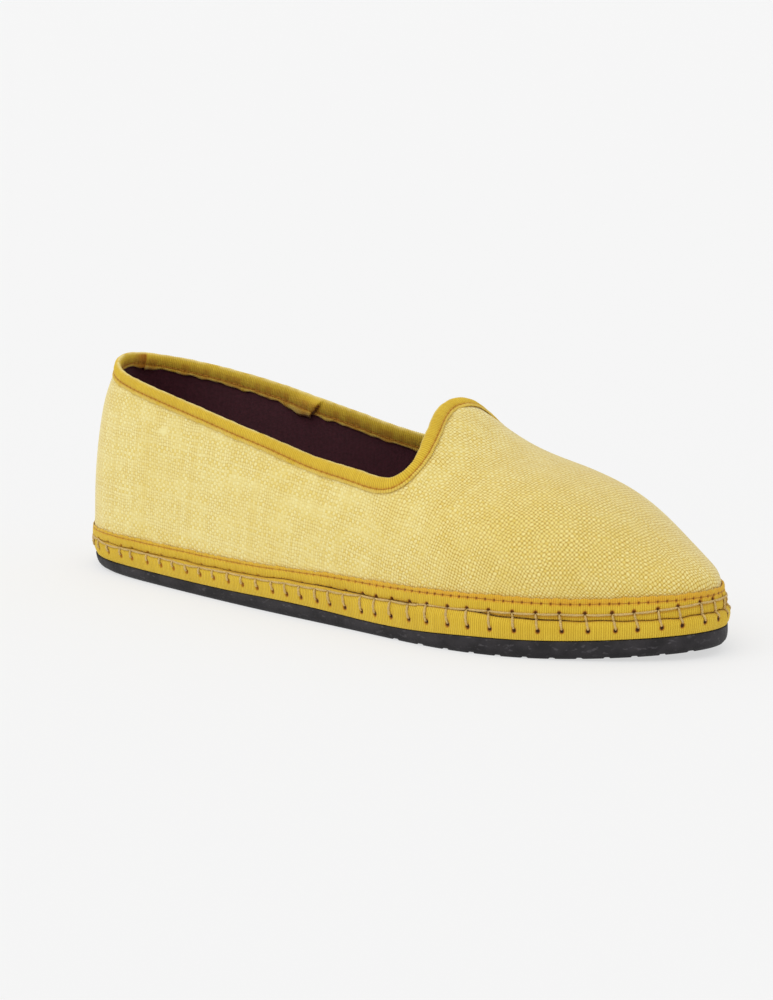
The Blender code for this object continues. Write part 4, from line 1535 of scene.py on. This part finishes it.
def pale_floor(name):
    """A smooth even floor that glows faintly, so that the shadows on it stay soft."""
    colours = bpy.context.scene.shoe_colours
    look = Look(name, 0.85)
    look.shader.inputs["Emission Color"].default_value = (1.0, 1.0, 1.0, 1.0)
    look.shader.inputs["Emission Strength"].default_value = FLOOR_GLOW
    soft = look.noise(look.place(), 0.8, 1.0)
    darker = tuple(0.99 * c for c in colours.floor)
    return look.finish(look.mix(soft, darker, colours.floor), specular=0.05)


FLOOR_GLOW = 0.61


# ---- The pieces ----

def make_upper():
    cloth = UpperCloth(CLOTH_FINENESS, CLOTH_ROWS)
    places = cloth.face + cloth.normal * cloth.relief()[..., None]
    slubs = np.clip(cloth.strokes(SLUBS), 0.0, 1.0)
    data = lay_cloth("linen_upper", Sheet(places, cloth.pattern, slubs))
    piece = add_piece("linen_upper", data, finished("straw_linen", linen), ("upper",))
    thicken(piece, CLOTH)
    inside = UpperCloth(LINING_FINENESS, LINING_ROWS)
    places = inside.face - inside.normal * (CLOTH + LINING_GAP)
    data = lay_cloth("plum_lining", Sheet(places, inside.pattern, 0.0))
    piece = add_piece("plum_lining", data, finished("plum_cloth", plum_cloth), ("upper",))
    thicken(piece, LINING)


LINING_FINENESS = 2
LINING_GAP = 0.00008


def make_insole():
    outer_turn, inner_turn = half_turns(INSOLE_STEPS)
    edges = []
    for turn in (outer_turn, inner_turn):
        side = upper_inset(turn) + CLOTH + LINING_GAP + LINING + GAP
        rows = [level(turn, side + step.inset, SEAM_HEIGHT + step.height) for step in INSOLE_EDGE]
        edges.append(np.stack(rows, axis=1))
    places = slab_section(edges[0], edges[1], INSOLE_ACROSS)
    first = len(INSOLE_EDGE)
    top = slice(first, first + INSOLE_ACROSS - 1)
    across = np.linspace(0.0, 1.0, INSOLE_ACROSS + 1)[1:-1]
    rounded = np.sin(math.pi * across)[None, :] ** 0.6
    along = np.sin(math.pi * np.linspace(0.0, 1.0, len(places)))[:, None] ** 0.5
    dish = 0.6 * hump((places[:, top, 0] - HEEL_SEAT) / 0.028) + hump((places[:, top, 0] - BALL_SEAT) / 0.034)
    places[:, top, 2] -= INSOLE_DISH * rounded * along * dish
    data = lay_cloth("plum_insole", Sheet(places, places[..., :2], 0.0))
    add_piece("plum_insole", data, finished("plum_cloth", plum_cloth), ("insole",))


INSOLE_STEPS = 160
INSOLE_ACROSS = 24
INSOLE_DISH = 0.0007
HEEL_SEAT = -0.078
BALL_SEAT = 0.045
EdgeStep = namedtuple("EdgeStep", "height inset")
INSOLE_EDGE = (
    EdgeStep(0.0000, 0.0005),
    EdgeStep(0.0006, 0.0000),
    EdgeStep(0.0016, 0.0000),
    EdgeStep(0.0022, 0.0003),
    EdgeStep(0.0025, 0.0009),
)


def binding_path(sizes):
    """Lengths along the collar, rib numbers, and the phase of the stitch holes, at each column."""
    ribs = round(collar_edge.length / sizes.rib_pitch)
    number = np.arange(ribs * RIB_STEPS + 1) / RIB_STEPS
    at = number * collar_edge.length / ribs
    stitches = round(collar_edge.length / sizes.binding_stitch_pitch)
    return at, number, at * stitches / collar_edge.length, stitches


def make_binding():
    sizes = bpy.context.scene.shoe_sizes
    at, number, stitch_phase, stitches = binding_path(sizes)
    lap = collar_edge.length
    depths = np.array([row.depth for row in BINDING_SECTION])
    outs = np.array([row.out for row in BINDING_SECTION])
    travel = np.concatenate([[0.0], np.cumsum(np.hypot(np.diff(depths), np.diff(outs)))])
    ahead = np.roll(np.stack([depths, outs], axis=1), -1, axis=0)
    behind = np.roll(np.stack([depths, outs], axis=1), 1, axis=0)
    facing = (ahead - behind)[:, ::-1] * np.array([1.0, -1.0])
    facing /= np.linalg.norm(facing, axis=1, keepdims=True)
    inner_wave = wander(at, lap, INNER_EDGE_WAVES, SEED)
    outer_wave = wander(at, lap, OUTER_EDGE_WAVES, SEED + 1)
    puff = wander(at, lap, PUFF_WAVES, SEED + 2)
    blotch = smooth_step(0.5 + wander(at, lap, BLOTCH_WAVES, SEED + 7))
    highlight_and_pale_edge = 0.75 + 0.25 * wander(at, lap, BLOTCH_WAVES, SEED + 8)
    pull = 0.5 + 0.5 * np.cos(2.0 * math.pi * stitch_phase)
    joint_from = (at - (lap - JOINT_FROM_HEEL) + 0.5 * lap) % lap - 0.5 * lap
    tuck_at = (at - (lap - TUCK_FROM_HEEL) + 0.5 * lap) % lap - 0.5 * lap
    in_tuck = (tuck_at > 0.0) * smooth_step(1.0 - tuck_at / TUCK_LENGTH)
    columns, marks, tints = [], [], []
    for k, row in enumerate(BINDING_SECTION):
        cloth = 1.0 if row.ribbed else 0.0
        inside = smooth_step((-row.out - 0.0005) / 0.0008) * cloth
        outside = smooth_step((row.out + 0.0001) / 0.0004) * cloth
        edge_share = smooth_step((row.depth - 0.0034) / 0.0010)
        stand = row.ribbed * (sizes.rib_height * rib_wave(number) + PUFF_HEIGHT * puff)
        near_groove = hump((travel[k] - travel[BINDING_GROOVE_OUTSIDE]) / 0.0007)
        near_groove = near_groove + hump((travel[k] - travel[BINDING_GROOVE_INSIDE]) / 0.0007)
        stand = stand - PUCKER * near_groove * pull
        across = travel[k] - travel[BINDING_FOLD]
        joint = joint_from - JOINT_SLANT * across
        lap_over = smooth_step((joint + 0.0004) / 0.0004) * smooth_step(1.0 - joint / JOINT_LENGTH)
        stand = stand + JOINT_RISE * lap_over * cloth * smooth_step((across - 0.0004) / 0.0020)
        before_tuck = (tuck_at <= 0.0) * smooth_step(1.0 + tuck_at / TUCK_LENGTH)
        stand = stand + TUCK_RISE * inside * before_tuck
        depth, out = binding_place(at, row.depth, row.out)
        depth = depth + facing[k, 0] * stand
        at_joint = hump((joint_from - JOINT_HANG_AT) / JOINT_HANG_REACH)
        hang = INNER_EDGE_WAVE * inner_wave + JOINT_HANG * at_joint
        depth = depth + edge_share * (inside * hang + outside * OUTER_EDGE_WAVE * outer_wave)
        place, _ = collar_edge.places(at, depth, out + facing[k, 1] * stand)
        columns.append(place)
        # Painted shade in the marks: in blotches over the inner face, in the joint's open gap, in the heel
        # tuck, along both stitch grooves (with the thread's orange tone on the outer one) and in their needle
        # holes.
        shaded = inside * (0.14 + 0.16 * blotch) * smooth_step((row.depth - 0.0006) / 0.0012)
        open_joint = smooth_step((row.depth - 0.0008) / 0.0010)
        dark = np.maximum(shaded, 0.95 * hump((joint + 0.0003) / 0.00034) * inside * open_joint)
        dark = np.maximum(dark, 0.50 * inside * in_tuck)
        dark = np.maximum(dark, 0.45 * hump((travel[k] - travel[BINDING_GROOVE_INSIDE]) / 0.0004))
        dark = np.maximum(dark, 0.22 * hump((travel[k] - travel[BINDING_GROOVE_OUTSIDE]) / 0.0008))
        if k in (BINDING_GROOVE_OUTSIDE, BINDING_GROOVE_INSIDE):
            dark = np.maximum(dark, 0.62 * pull ** 4)
        marks.append(dark * cloth)
        # Tint: a painted highlight along the fold, and paler frayed cloth at both lower edges.
        fold = hump((travel[k] - travel[BINDING_FOLD]) / 0.0006)
        tints.append(highlight_and_pale_edge * np.maximum(fold, (0.30 + 0.20 * inside) * edge_share * cloth))
    section = np.concatenate([travel, travel[-1:] + 0.001])
    sheet = ribbed_band(columns, marks, tints, number * sizes.rib_pitch, section)
    data = lay_cloth("ribbed_binding", sheet)
    tape = finished("mustard_binding", binding_tape)
    add_piece("ribbed_binding", data, tape, ("collar_binding",))
    stitching = bmesh.new()
    start = np.arange(stitches) * lap / stitches
    for k, seed in ((BINDING_GROOVE_OUTSIDE, 11), (BINDING_GROOVE_INSIDE, 12)):
        row = BINDING_SECTION[k]
        side = 1.0 if row.out > 0.0 else -1.0
        depth, out = binding_place(start, row.depth, row.out - side * 0.00005)
        seam, facings = collar_edge.places(start, depth, out)
        stitch_row(stitching, seam, side * facings, STITCH_SHARE, sizes.machine_thread, seed)
    sew("binding_stitches", stitching)


def binding_place(at, depth, out):
    """Depth and distance out of one row of the binding's section, as the collar strays from the last."""
    lap = collar_edge.length
    share = np.clip(at / lap, 0.0, 1.0)
    narrow = collar_trim["width"](share) if depth > 0.0 else 1.0
    upper = max(0.0, 1.0 - max(depth, 0.0) / REACH_DEPTH)
    return depth * narrow - collar_trim["reach"](share) * upper, out + collar_trim["lean"](share) + 0.0 * at


INNER_EDGE_WAVES = (0.0190, 0.0127, 0.0088, 0.0061)
OUTER_EDGE_WAVES = (0.0210, 0.0102, 0.0048)
PUFF_WAVES = (0.0150, 0.0083, 0.0049)
BLOTCH_WAVES = (0.0170, 0.0107, 0.0071, 0.0043)
INNER_EDGE_WAVE = 0.0006
OUTER_EDGE_WAVE = 0.00022
REACH_DEPTH = 0.0034
PUFF_HEIGHT = 0.00010
PUCKER = 0.00010


def sew(name, mesh):
    """Makes a piece of a run of machine stitches."""
    data = bpy.data.meshes.new(name)
    mesh.to_mesh(data)
    mesh.free()
    data.shade_smooth()
    add_piece(name, data, finished("seam_thread", seam_thread))


def make_edge_tape():
    sizes = bpy.context.scene.shoe_sizes
    ribs = round(OUTLINE_LENGTH / sizes.rib_pitch)
    number = np.arange(ribs * RIB_STEPS + 1) / RIB_STEPS
    travel = number * OUTLINE_LENGTH / ribs
    turn = turn_after(travel)
    turn[-1] = turn[0]
    stitches = round(OUTLINE_LENGTH / sizes.tape_stitch_pitch)
    pull = 0.5 - 0.5 * np.cos(2.0 * math.pi * travel * stitches / OUTLINE_LENGTH)
    wave = wander(travel, OUTLINE_LENGTH, TAPE_EDGE_WAVES, SEED + 3)
    puff = wander(travel, OUTLINE_LENGTH, PUFF_WAVES, SEED + 4)
    holes = hand_stitch_places(sizes.hand_stitch_pitch)
    foot = stack_height("seam", turn)
    tall = stack_height("tape", turn) - foot
    hole_line = stack_height("upper_hole", turn) + HOLE_BEYOND - foot
    shade = hole_shade(turn)
    front = smooth_step((outline(turn)[:, 0] + 0.03) / 0.09)
    flatten = 1.0 - HEEL_FLATTENING * heel_share(turn)
    columns, marks, tints = [], [], []
    for row in EDGE_TAPE_SECTION:
        pierced = hole_marks(travel, row.up * tall - hole_line, holes, HOLE_RADIUS) * (row.ribbed > 0.5)
        near_seam = hump((row.up - TAPE_SEAM) / 0.05) * (row.ribbed > 0.0)
        out = TAPE_THICKNESS * row.out + row.ribbed * (sizes.rib_height * rib_wave(number) + TAPE_PUFF * puff)
        out = (out - TAPE_PUCKER * near_seam * pull) * flatten - HOLE_DEPTH * pierced
        top = smooth_step((row.up - 0.80) / 0.2)
        share = row.up + top * (TAPE_SCALLOP * (1.0 - 2.0 * pull) + TAPE_EDGE_WAVE * wave) / tall
        columns.append(edge_tape_surface(turn, share, np.maximum(out, 0.00002)))
        # Painted shade in the machine stitches' and hand stitches' needle holes, and a painted shadow just
        # under the hand stitches' level thread.
        needle = hump((row.up - TAPE_SEAM) * tall / 0.00045) * pull ** 6 * (row.ribbed > 0.0)
        thread_shadow = 0.30 * hump((row.up * tall - hole_line + 0.0010) / 0.00045) * (row.ribbed > 0.5)
        dark = np.maximum(0.85 * shade * smooth_step(1.6 * pierced), (0.40 + 0.55 * front) * needle)
        marks.append(np.maximum(dark, thread_shadow))
        tints.append((0.45 + 0.40 * front) * smooth_step((row.up - 0.60) / 0.12))
    data = lay_cloth("ribbed_edge_tape", ribbed_band(columns, marks, tints, number * sizes.rib_pitch))
    tape = finished("mustard_edge_tape", upper_tape)
    add_piece("ribbed_edge_tape", data, tape, ("edge_tape",))
    stitching = bmesh.new()
    middle = turn_after((np.arange(stitches) + 0.5) * OUTLINE_LENGTH / stitches)
    seam = edge_tape_surface(middle, TAPE_SEAM, edge_tape_out(middle, TAPE_SEAM) - 0.0001)
    facings = facing_out(middle)
    stitch_row(stitching, seam, facings, STITCH_SHARE, sizes.machine_thread, 13)
    sew("tape_stitches", stitching)


TAPE_SEAM = 0.76
TAPE_EDGE_WAVES = (0.0230, 0.0110, 0.0070)
TAPE_SCALLOP = 0.00012
TAPE_EDGE_WAVE = 0.00022
TAPE_PUFF = 0.00012
TAPE_PUCKER = 0.00014


def make_sole_tape():
    sizes = bpy.context.scene.shoe_sizes
    ribs = round(0.5 * OUTLINE_LENGTH / sizes.rib_pitch)
    number = np.arange(ribs * RIB_STEPS + 1) / RIB_STEPS
    holes = hand_stitch_places(sizes.hand_stitch_pitch) + STITCH_SLANT
    edges, marks = [], []
    for turn in half_turns(ribs * RIB_STEPS):
        travel = np.interp(turn, OUTLINE_TURNS, OUTLINE_TRAVEL)
        puff = wander(travel, OUTLINE_LENGTH, PUFF_WAVES, SEED + 5)
        foot, top = sole_tape_span(turn)
        hole_line = stack_height("lower_hole", turn) - HOLE_BEYOND
        rows, dark = [], []
        for share in SOLE_TAPE_SHARES:
            height = foot + share * (top - foot)
            ribbed = smooth_step(share / 0.08) * smooth_step((1.0 - share) / 0.08)
            pierced = hole_marks(travel, height - hole_line, holes, HOLE_RADIUS) * (0.0 < share < 1.0)
            stand = ribbed * (sizes.rib_height * rib_wave(number) + TAPE_PUFF * puff) - HOLE_DEPTH * pierced
            rows.append(level(turn, sole_tape_edge.inset(turn, share) - stand, height))
            # Painted shade in the hand stitches' holes, and along the top row where it meets the seam between
            # the tapes.
            dark.append(np.maximum(hole_shade(turn) * smooth_step(1.6 * pierced), 0.25 * (share == 1.0)))
        rows.append(level(turn, upper_inset(turn), np.minimum(top, SEAM_HEIGHT - GAP)))
        rows.append(level(turn, upper_inset(turn) + CORE_INSET, SEAM_HEIGHT - GAP + 0.0 * turn))
        dark += [0.0 * turn] * 2
        edges.append(np.stack(rows, axis=1))
        marks.append(np.stack(dark, axis=1))
    places = slab_section(edges[0], edges[1], 3)
    shade = slab_section(marks[0][..., None], marks[1][..., None], 3)[..., 0]
    length = number * sizes.rib_pitch
    section = row_travel(places).mean(axis=0)
    rows = len(SOLE_TAPE_SHARES) + 2
    section[rows + 2:2 * rows + 2] = section[:rows][::-1]
    cloth = np.stack(np.broadcast_arrays(length[:, None], section[None, :]), axis=-1)
    data = lay_cloth("ribbed_sole_tape", Sheet(places, cloth, shade))
    add_piece("ribbed_sole_tape", data, finished("mustard_sole_tape", sole_tape), ("midsole",))


SOLE_TAPE_SHARES = (0.0, 0.04, 0.10, 0.17, 0.24, 0.31, 0.38, 0.45, 0.52, 0.60, 0.68, 0.77, 0.87, 0.95, 1.0)
CORE_INSET = 0.0012


def sole_tape_span(turn):
    """Heights between which the sole tape shows."""
    return stack_height("rubber", turn) + GAP, stack_height("seam", turn) - 0.5 * GAP


def stack_inset(turn, height):
    """Inset of whichever tape shows at a height of the stack."""
    seam = stack_height("seam", turn)
    share = (height - seam) / (stack_height("tape", turn) - seam)
    over = upper_inset(turn) - GAP - edge_tape_out(turn, np.clip(share, 0.0, 1.0))
    foot, top = sole_tape_span(turn)
    under = sole_tape_edge.inset(turn, np.clip((height - foot) / (top - foot), 0.0, 1.0))
    return np.where(height > seam, over, under)


def make_hand_stitches():
    sizes = bpy.context.scene.shoe_sizes
    thread = sizes.hand_thread
    holes = hand_stitch_places(sizes.hand_stitch_pitch)
    uneven = np.random.default_rng(SEED + 6).uniform(-1.0, 1.0, (len(holes), 3))
    tops = stack_height("upper_hole", turn_after(holes)) + HAND_SWAY * uneven[:, 0]
    threads = []
    for i, here in enumerate(holes):
        there = holes[(i + 1) % len(holes)]
        there = there if there > here else there + OUTLINE_LENGTH
        share = np.linspace(0.0, 1.0, UPRIGHT_STEPS)
        turn = turn_after(here + (STITCH_SLANT + HAND_SWAY * uneven[i, 2]) * share)
        low = stack_height("lower_hole", turn[-1:])[0] + HAND_SWAY * uneven[i, 1]
        height = tops[i] + (low - tops[i]) * share
        inset = stack_inset(turn, height)
        taut = inset[0] + (inset[-1] - inset[0]) * share
        inset = np.minimum(inset, 0.85 * inset + 0.15 * taut) - 0.40 * thread
        ease = np.clip(np.minimum(share, 1.0 - share) / 0.14, 0.0, 1.0)
        inset = inset + HOLE_REACH * (1.0 - np.sqrt(1.0 - (1.0 - ease) ** 2 * 0.999))
        path = level(turn, inset, height)
        facing = facing_out(turn)
        threads.append(cord_along(path, facing, thread))
        share = np.linspace(0.0, 1.0, LEVEL_STEPS)
        turn = turn_after(here + (there - here) * share)
        height = tops[i] + (tops[(i + 1) % len(holes)] - tops[i]) * share
        height = height - HAND_SAG * np.sin(math.pi * share)
        ease = np.clip(np.minimum(share, 1.0 - share) / 0.10, 0.0, 1.0)
        inset = stack_inset(turn, height) - 0.42 * thread + HOLE_REACH * (1.0 - ease) ** 2
        facing = facing_out(turn)
        threads.append(cord_along(level(turn, inset, height), facing, 0.92 * thread))
    data = lay_cloth("hand_stitches", *threads)
    add_piece("hand_stitches", data, finished("tan_thread", hand_thread))


UPRIGHT_STEPS = 17
LEVEL_STEPS = 14
HAND_SWAY = 0.00030
HAND_SAG = 0.00012
HOLE_REACH = 0.0009


def tread_lift(x, y, from_edge):
    """Depth share of the moulded grooves under the outsole, slanting off the middle line."""
    phase = (x - TREAD_SLANT * np.abs(y)) / TREAD_PITCH
    groove = smooth_step((np.cos(2.0 * math.pi * phase) - TREAD_LAND) / (1.0 - TREAD_LAND) * 1.8)
    front = smooth_step((x - TREAD_FRONT) / 0.004)
    heel = smooth_step((TREAD_HEEL - x) / 0.004)
    waist = 0.35 * (1.0 - front) * (1.0 - heel)
    whole = smooth_step(from_edge / TREAD_MARGIN)
    return groove * (front * (0.45 + 0.55 * whole) + (heel + waist) * whole)


TREAD_SLANT = 0.55
TREAD_PITCH = 0.0098
TREAD_LAND = 0.72
TREAD_FRONT = 0.028
TREAD_HEEL = -0.070
TREAD_EDGE = 0.0016
TREAD_MARGIN = 0.006


def make_outsole():
    sizes = bpy.context.scene.shoe_sizes
    edges = []
    for turn in half_turns(OUTSOLE_STEPS):
        tall = stack_height("rubber", turn)
        rows = []
        for share in OUTSOLE_SHARES:
            inset = rubber_edge.inset(turn, share) + OUTSOLE_ROUND * hump(share / 0.09)
            rows.append(level(turn, inset, share * tall))
        edges.append(np.stack(rows, axis=1))
    places = slab_section(edges[0], edges[1], OUTSOLE_ACROSS)
    height = places[..., 2] - toe_lift(places[..., 0])
    low = 1.0 - smooth_step(height / TREAD_EDGE)
    sides = [np.linalg.norm(places[..., :2] - edge[:, :1, :2], axis=-1) for edge in edges]
    lift = tread_lift(places[..., 0], places[..., 1], np.minimum(*sides))
    places[..., 2] += sizes.tread_depth * lift * low
    # Painted shade, darkest at the foot of the rubber's side.
    shade = 0.70 * (1.0 - smooth_step((height - 0.0002) / 0.0030))
    data = lay_cloth("tread_outsole", Sheet(places, places[..., :2], shade))
    add_piece("tread_outsole", data, finished("charcoal_rubber", charcoal_rubber), ("outsole",))


OUTSOLE_STEPS = 760
OUTSOLE_ACROSS = 36
OUTSOLE_ROUND = 0.0004
OUTSOLE_SHARES = (0.0, 0.06, 0.14, 0.24, 0.36, 0.52, 0.70, 0.90, 1.0)


def make_floor(sizes):
    mesh = bmesh.new()
    bmesh.ops.create_grid(mesh, x_segments=8, y_segments=8, size=0.5 * sizes.floor_width)
    data = bpy.data.meshes.new("floor")
    mesh.to_mesh(data)
    mesh.free()
    data.materials.append(finished("pale_floor", pale_floor))
    floor = bpy.data.objects.new("floor", data)
    bpy.context.scene.collection.objects.link(floor)


SUN_FROM = Vector((-0.27, -0.82, 1.50))
SUN_STRENGTH = 0.76
SUN_WIDTH = 1.0
WORLD_STRENGTH = 0.77


def aim(target):
    """Turns something at its place to look at a target."""
    return target.to_track_quat("-Z", "Y").to_matrix().to_4x4()


def make_lights():
    light = bpy.data.lights.new("soft_key", "SUN")
    light.energy = SUN_STRENGTH
    light.angle = SUN_WIDTH
    holder = bpy.data.objects.new("soft_key", light)
    holder.matrix_world = Matrix.Translation(SUN_FROM) @ aim(-SUN_FROM)
    bpy.context.scene.collection.objects.link(holder)
    world = bpy.data.worlds.new("studio")
    world.use_nodes = True
    backdrop = world.node_tree.nodes["Background"]
    backdrop.inputs["Color"].default_value = (1.0, 1.0, 1.0, 1.0)
    backdrop.inputs["Strength"].default_value = WORLD_STRENGTH
    bpy.context.scene.world = world


LOOK_AT = Vector((-0.004, 0.002, 0.034))


def make_camera(sizes):
    turn, height = sizes.camera_turn, sizes.camera_height
    away = Vector((math.sin(turn) * math.cos(height), -math.cos(turn) * math.cos(height), math.sin(height)))
    centre = Vector((0.0, 0.0, 0.025))
    place = centre + away * sizes.camera_distance
    lens = bpy.data.cameras.new("camera")
    lens.lens = sizes.camera_lens
    camera = bpy.data.objects.new("camera", lens)
    roll = Matrix.Rotation(sizes.camera_roll, 4, "Z")
    camera.matrix_world = Matrix.Translation(place) @ aim(LOOK_AT - place) @ roll
    bpy.context.scene.collection.objects.link(camera)
    bpy.context.scene.camera = camera


# ---- Operators and panel ----

class SHOE_OT_upper(bpy.types.Operator):
    """Lays the linen upper and its plum lining over the last"""
    bl_idname = "shoe.upper"
    bl_label = "Upper and lining"

    def execute(self, context):
        make_upper()
        return {"FINISHED"}


class SHOE_OT_insole(bpy.types.Operator):
    """Lays the plum insole inside the shoe"""
    bl_idname = "shoe.insole"
    bl_label = "Insole"

    def execute(self, context):
        make_insole()
        return {"FINISHED"}


class SHOE_OT_binding(bpy.types.Operator):
    """Folds the ribbed binding over the collar and stitches it down"""
    bl_idname = "shoe.binding"
    bl_label = "Collar binding"

    def execute(self, context):
        make_binding()
        return {"FINISHED"}


class SHOE_OT_edge_tape(bpy.types.Operator):
    """Stitches the ribbed tape round the foot of the upper"""
    bl_idname = "shoe.edge_tape"
    bl_label = "Edge tape"

    def execute(self, context):
        make_edge_tape()
        return {"FINISHED"}


class SHOE_OT_sole_tape(bpy.types.Operator):
    """Wraps the midsole in ribbed tape"""
    bl_idname = "shoe.sole_tape"
    bl_label = "Sole tape"

    def execute(self, context):
        make_sole_tape()
        return {"FINISHED"}


class SHOE_OT_hand_stitches(bpy.types.Operator):
    """Sews the upper to the sole with tan thread"""
    bl_idname = "shoe.hand_stitches"
    bl_label = "Hand stitches"

    def execute(self, context):
        make_hand_stitches()
        return {"FINISHED"}


class SHOE_OT_outsole(bpy.types.Operator):
    """Moulds the rubber outsole and its tread"""
    bl_idname = "shoe.outsole"
    bl_label = "Outsole"

    def execute(self, context):
        make_outsole()
        return {"FINISHED"}


class SHOE_OT_stage(bpy.types.Operator):
    """Sets the pale floor, the soft lights and the camera"""
    bl_idname = "shoe.stage"
    bl_label = "Stage"

    def execute(self, context):
        sizes = context.scene.shoe_sizes
        make_floor(sizes)
        make_lights()
        make_camera(sizes)
        context.scene.view_settings.view_transform = "Standard"
        return {"FINISHED"}


STEPS = (
    SHOE_OT_upper, SHOE_OT_insole, SHOE_OT_binding, SHOE_OT_edge_tape, SHOE_OT_sole_tape,
    SHOE_OT_hand_stitches, SHOE_OT_outsole, SHOE_OT_stage,
)


class SHOE_PT_pieces(bpy.types.Panel):
    """Lists the shoe's pieces, sizes and colours"""
    bl_idname = "SHOE_PT_pieces"
    bl_label = "Linen slip-on shoe"
    bl_space_type = "VIEW_3D"
    bl_region_type = "UI"
    bl_category = "Shoe"

    def draw(self, context):
        column = self.layout.column(align=True)
        for step in STEPS:
            column.operator(step.bl_idname)
        for group in (context.scene.shoe_sizes, context.scene.shoe_colours):
            box = self.layout.box().column()
            for name in group.__annotations__:
                box.prop(group, name)


CLASSES = (ShoeSizes, ShoeColours, *STEPS, SHOE_PT_pieces)


def register():
    for each in CLASSES:
        bpy.utils.register_class(each)
    bpy.types.Scene.shoe_sizes = PointerProperty(type=ShoeSizes)
    bpy.types.Scene.shoe_colours = PointerProperty(type=ShoeColours)


def unregister():
    del bpy.types.Scene.shoe_colours
    del bpy.types.Scene.shoe_sizes
    for each in reversed(CLASSES):
        bpy.utils.unregister_class(each)


def main():
    register()
    bpy.ops.shoe.upper()
    bpy.ops.shoe.insole()
    bpy.ops.shoe.binding()
    bpy.ops.shoe.edge_tape()
    bpy.ops.shoe.sole_tape()
    bpy.ops.shoe.hand_stitches()
    bpy.ops.shoe.outsole()
    bpy.ops.shoe.stage()


if __name__ == "__main__":
    main()
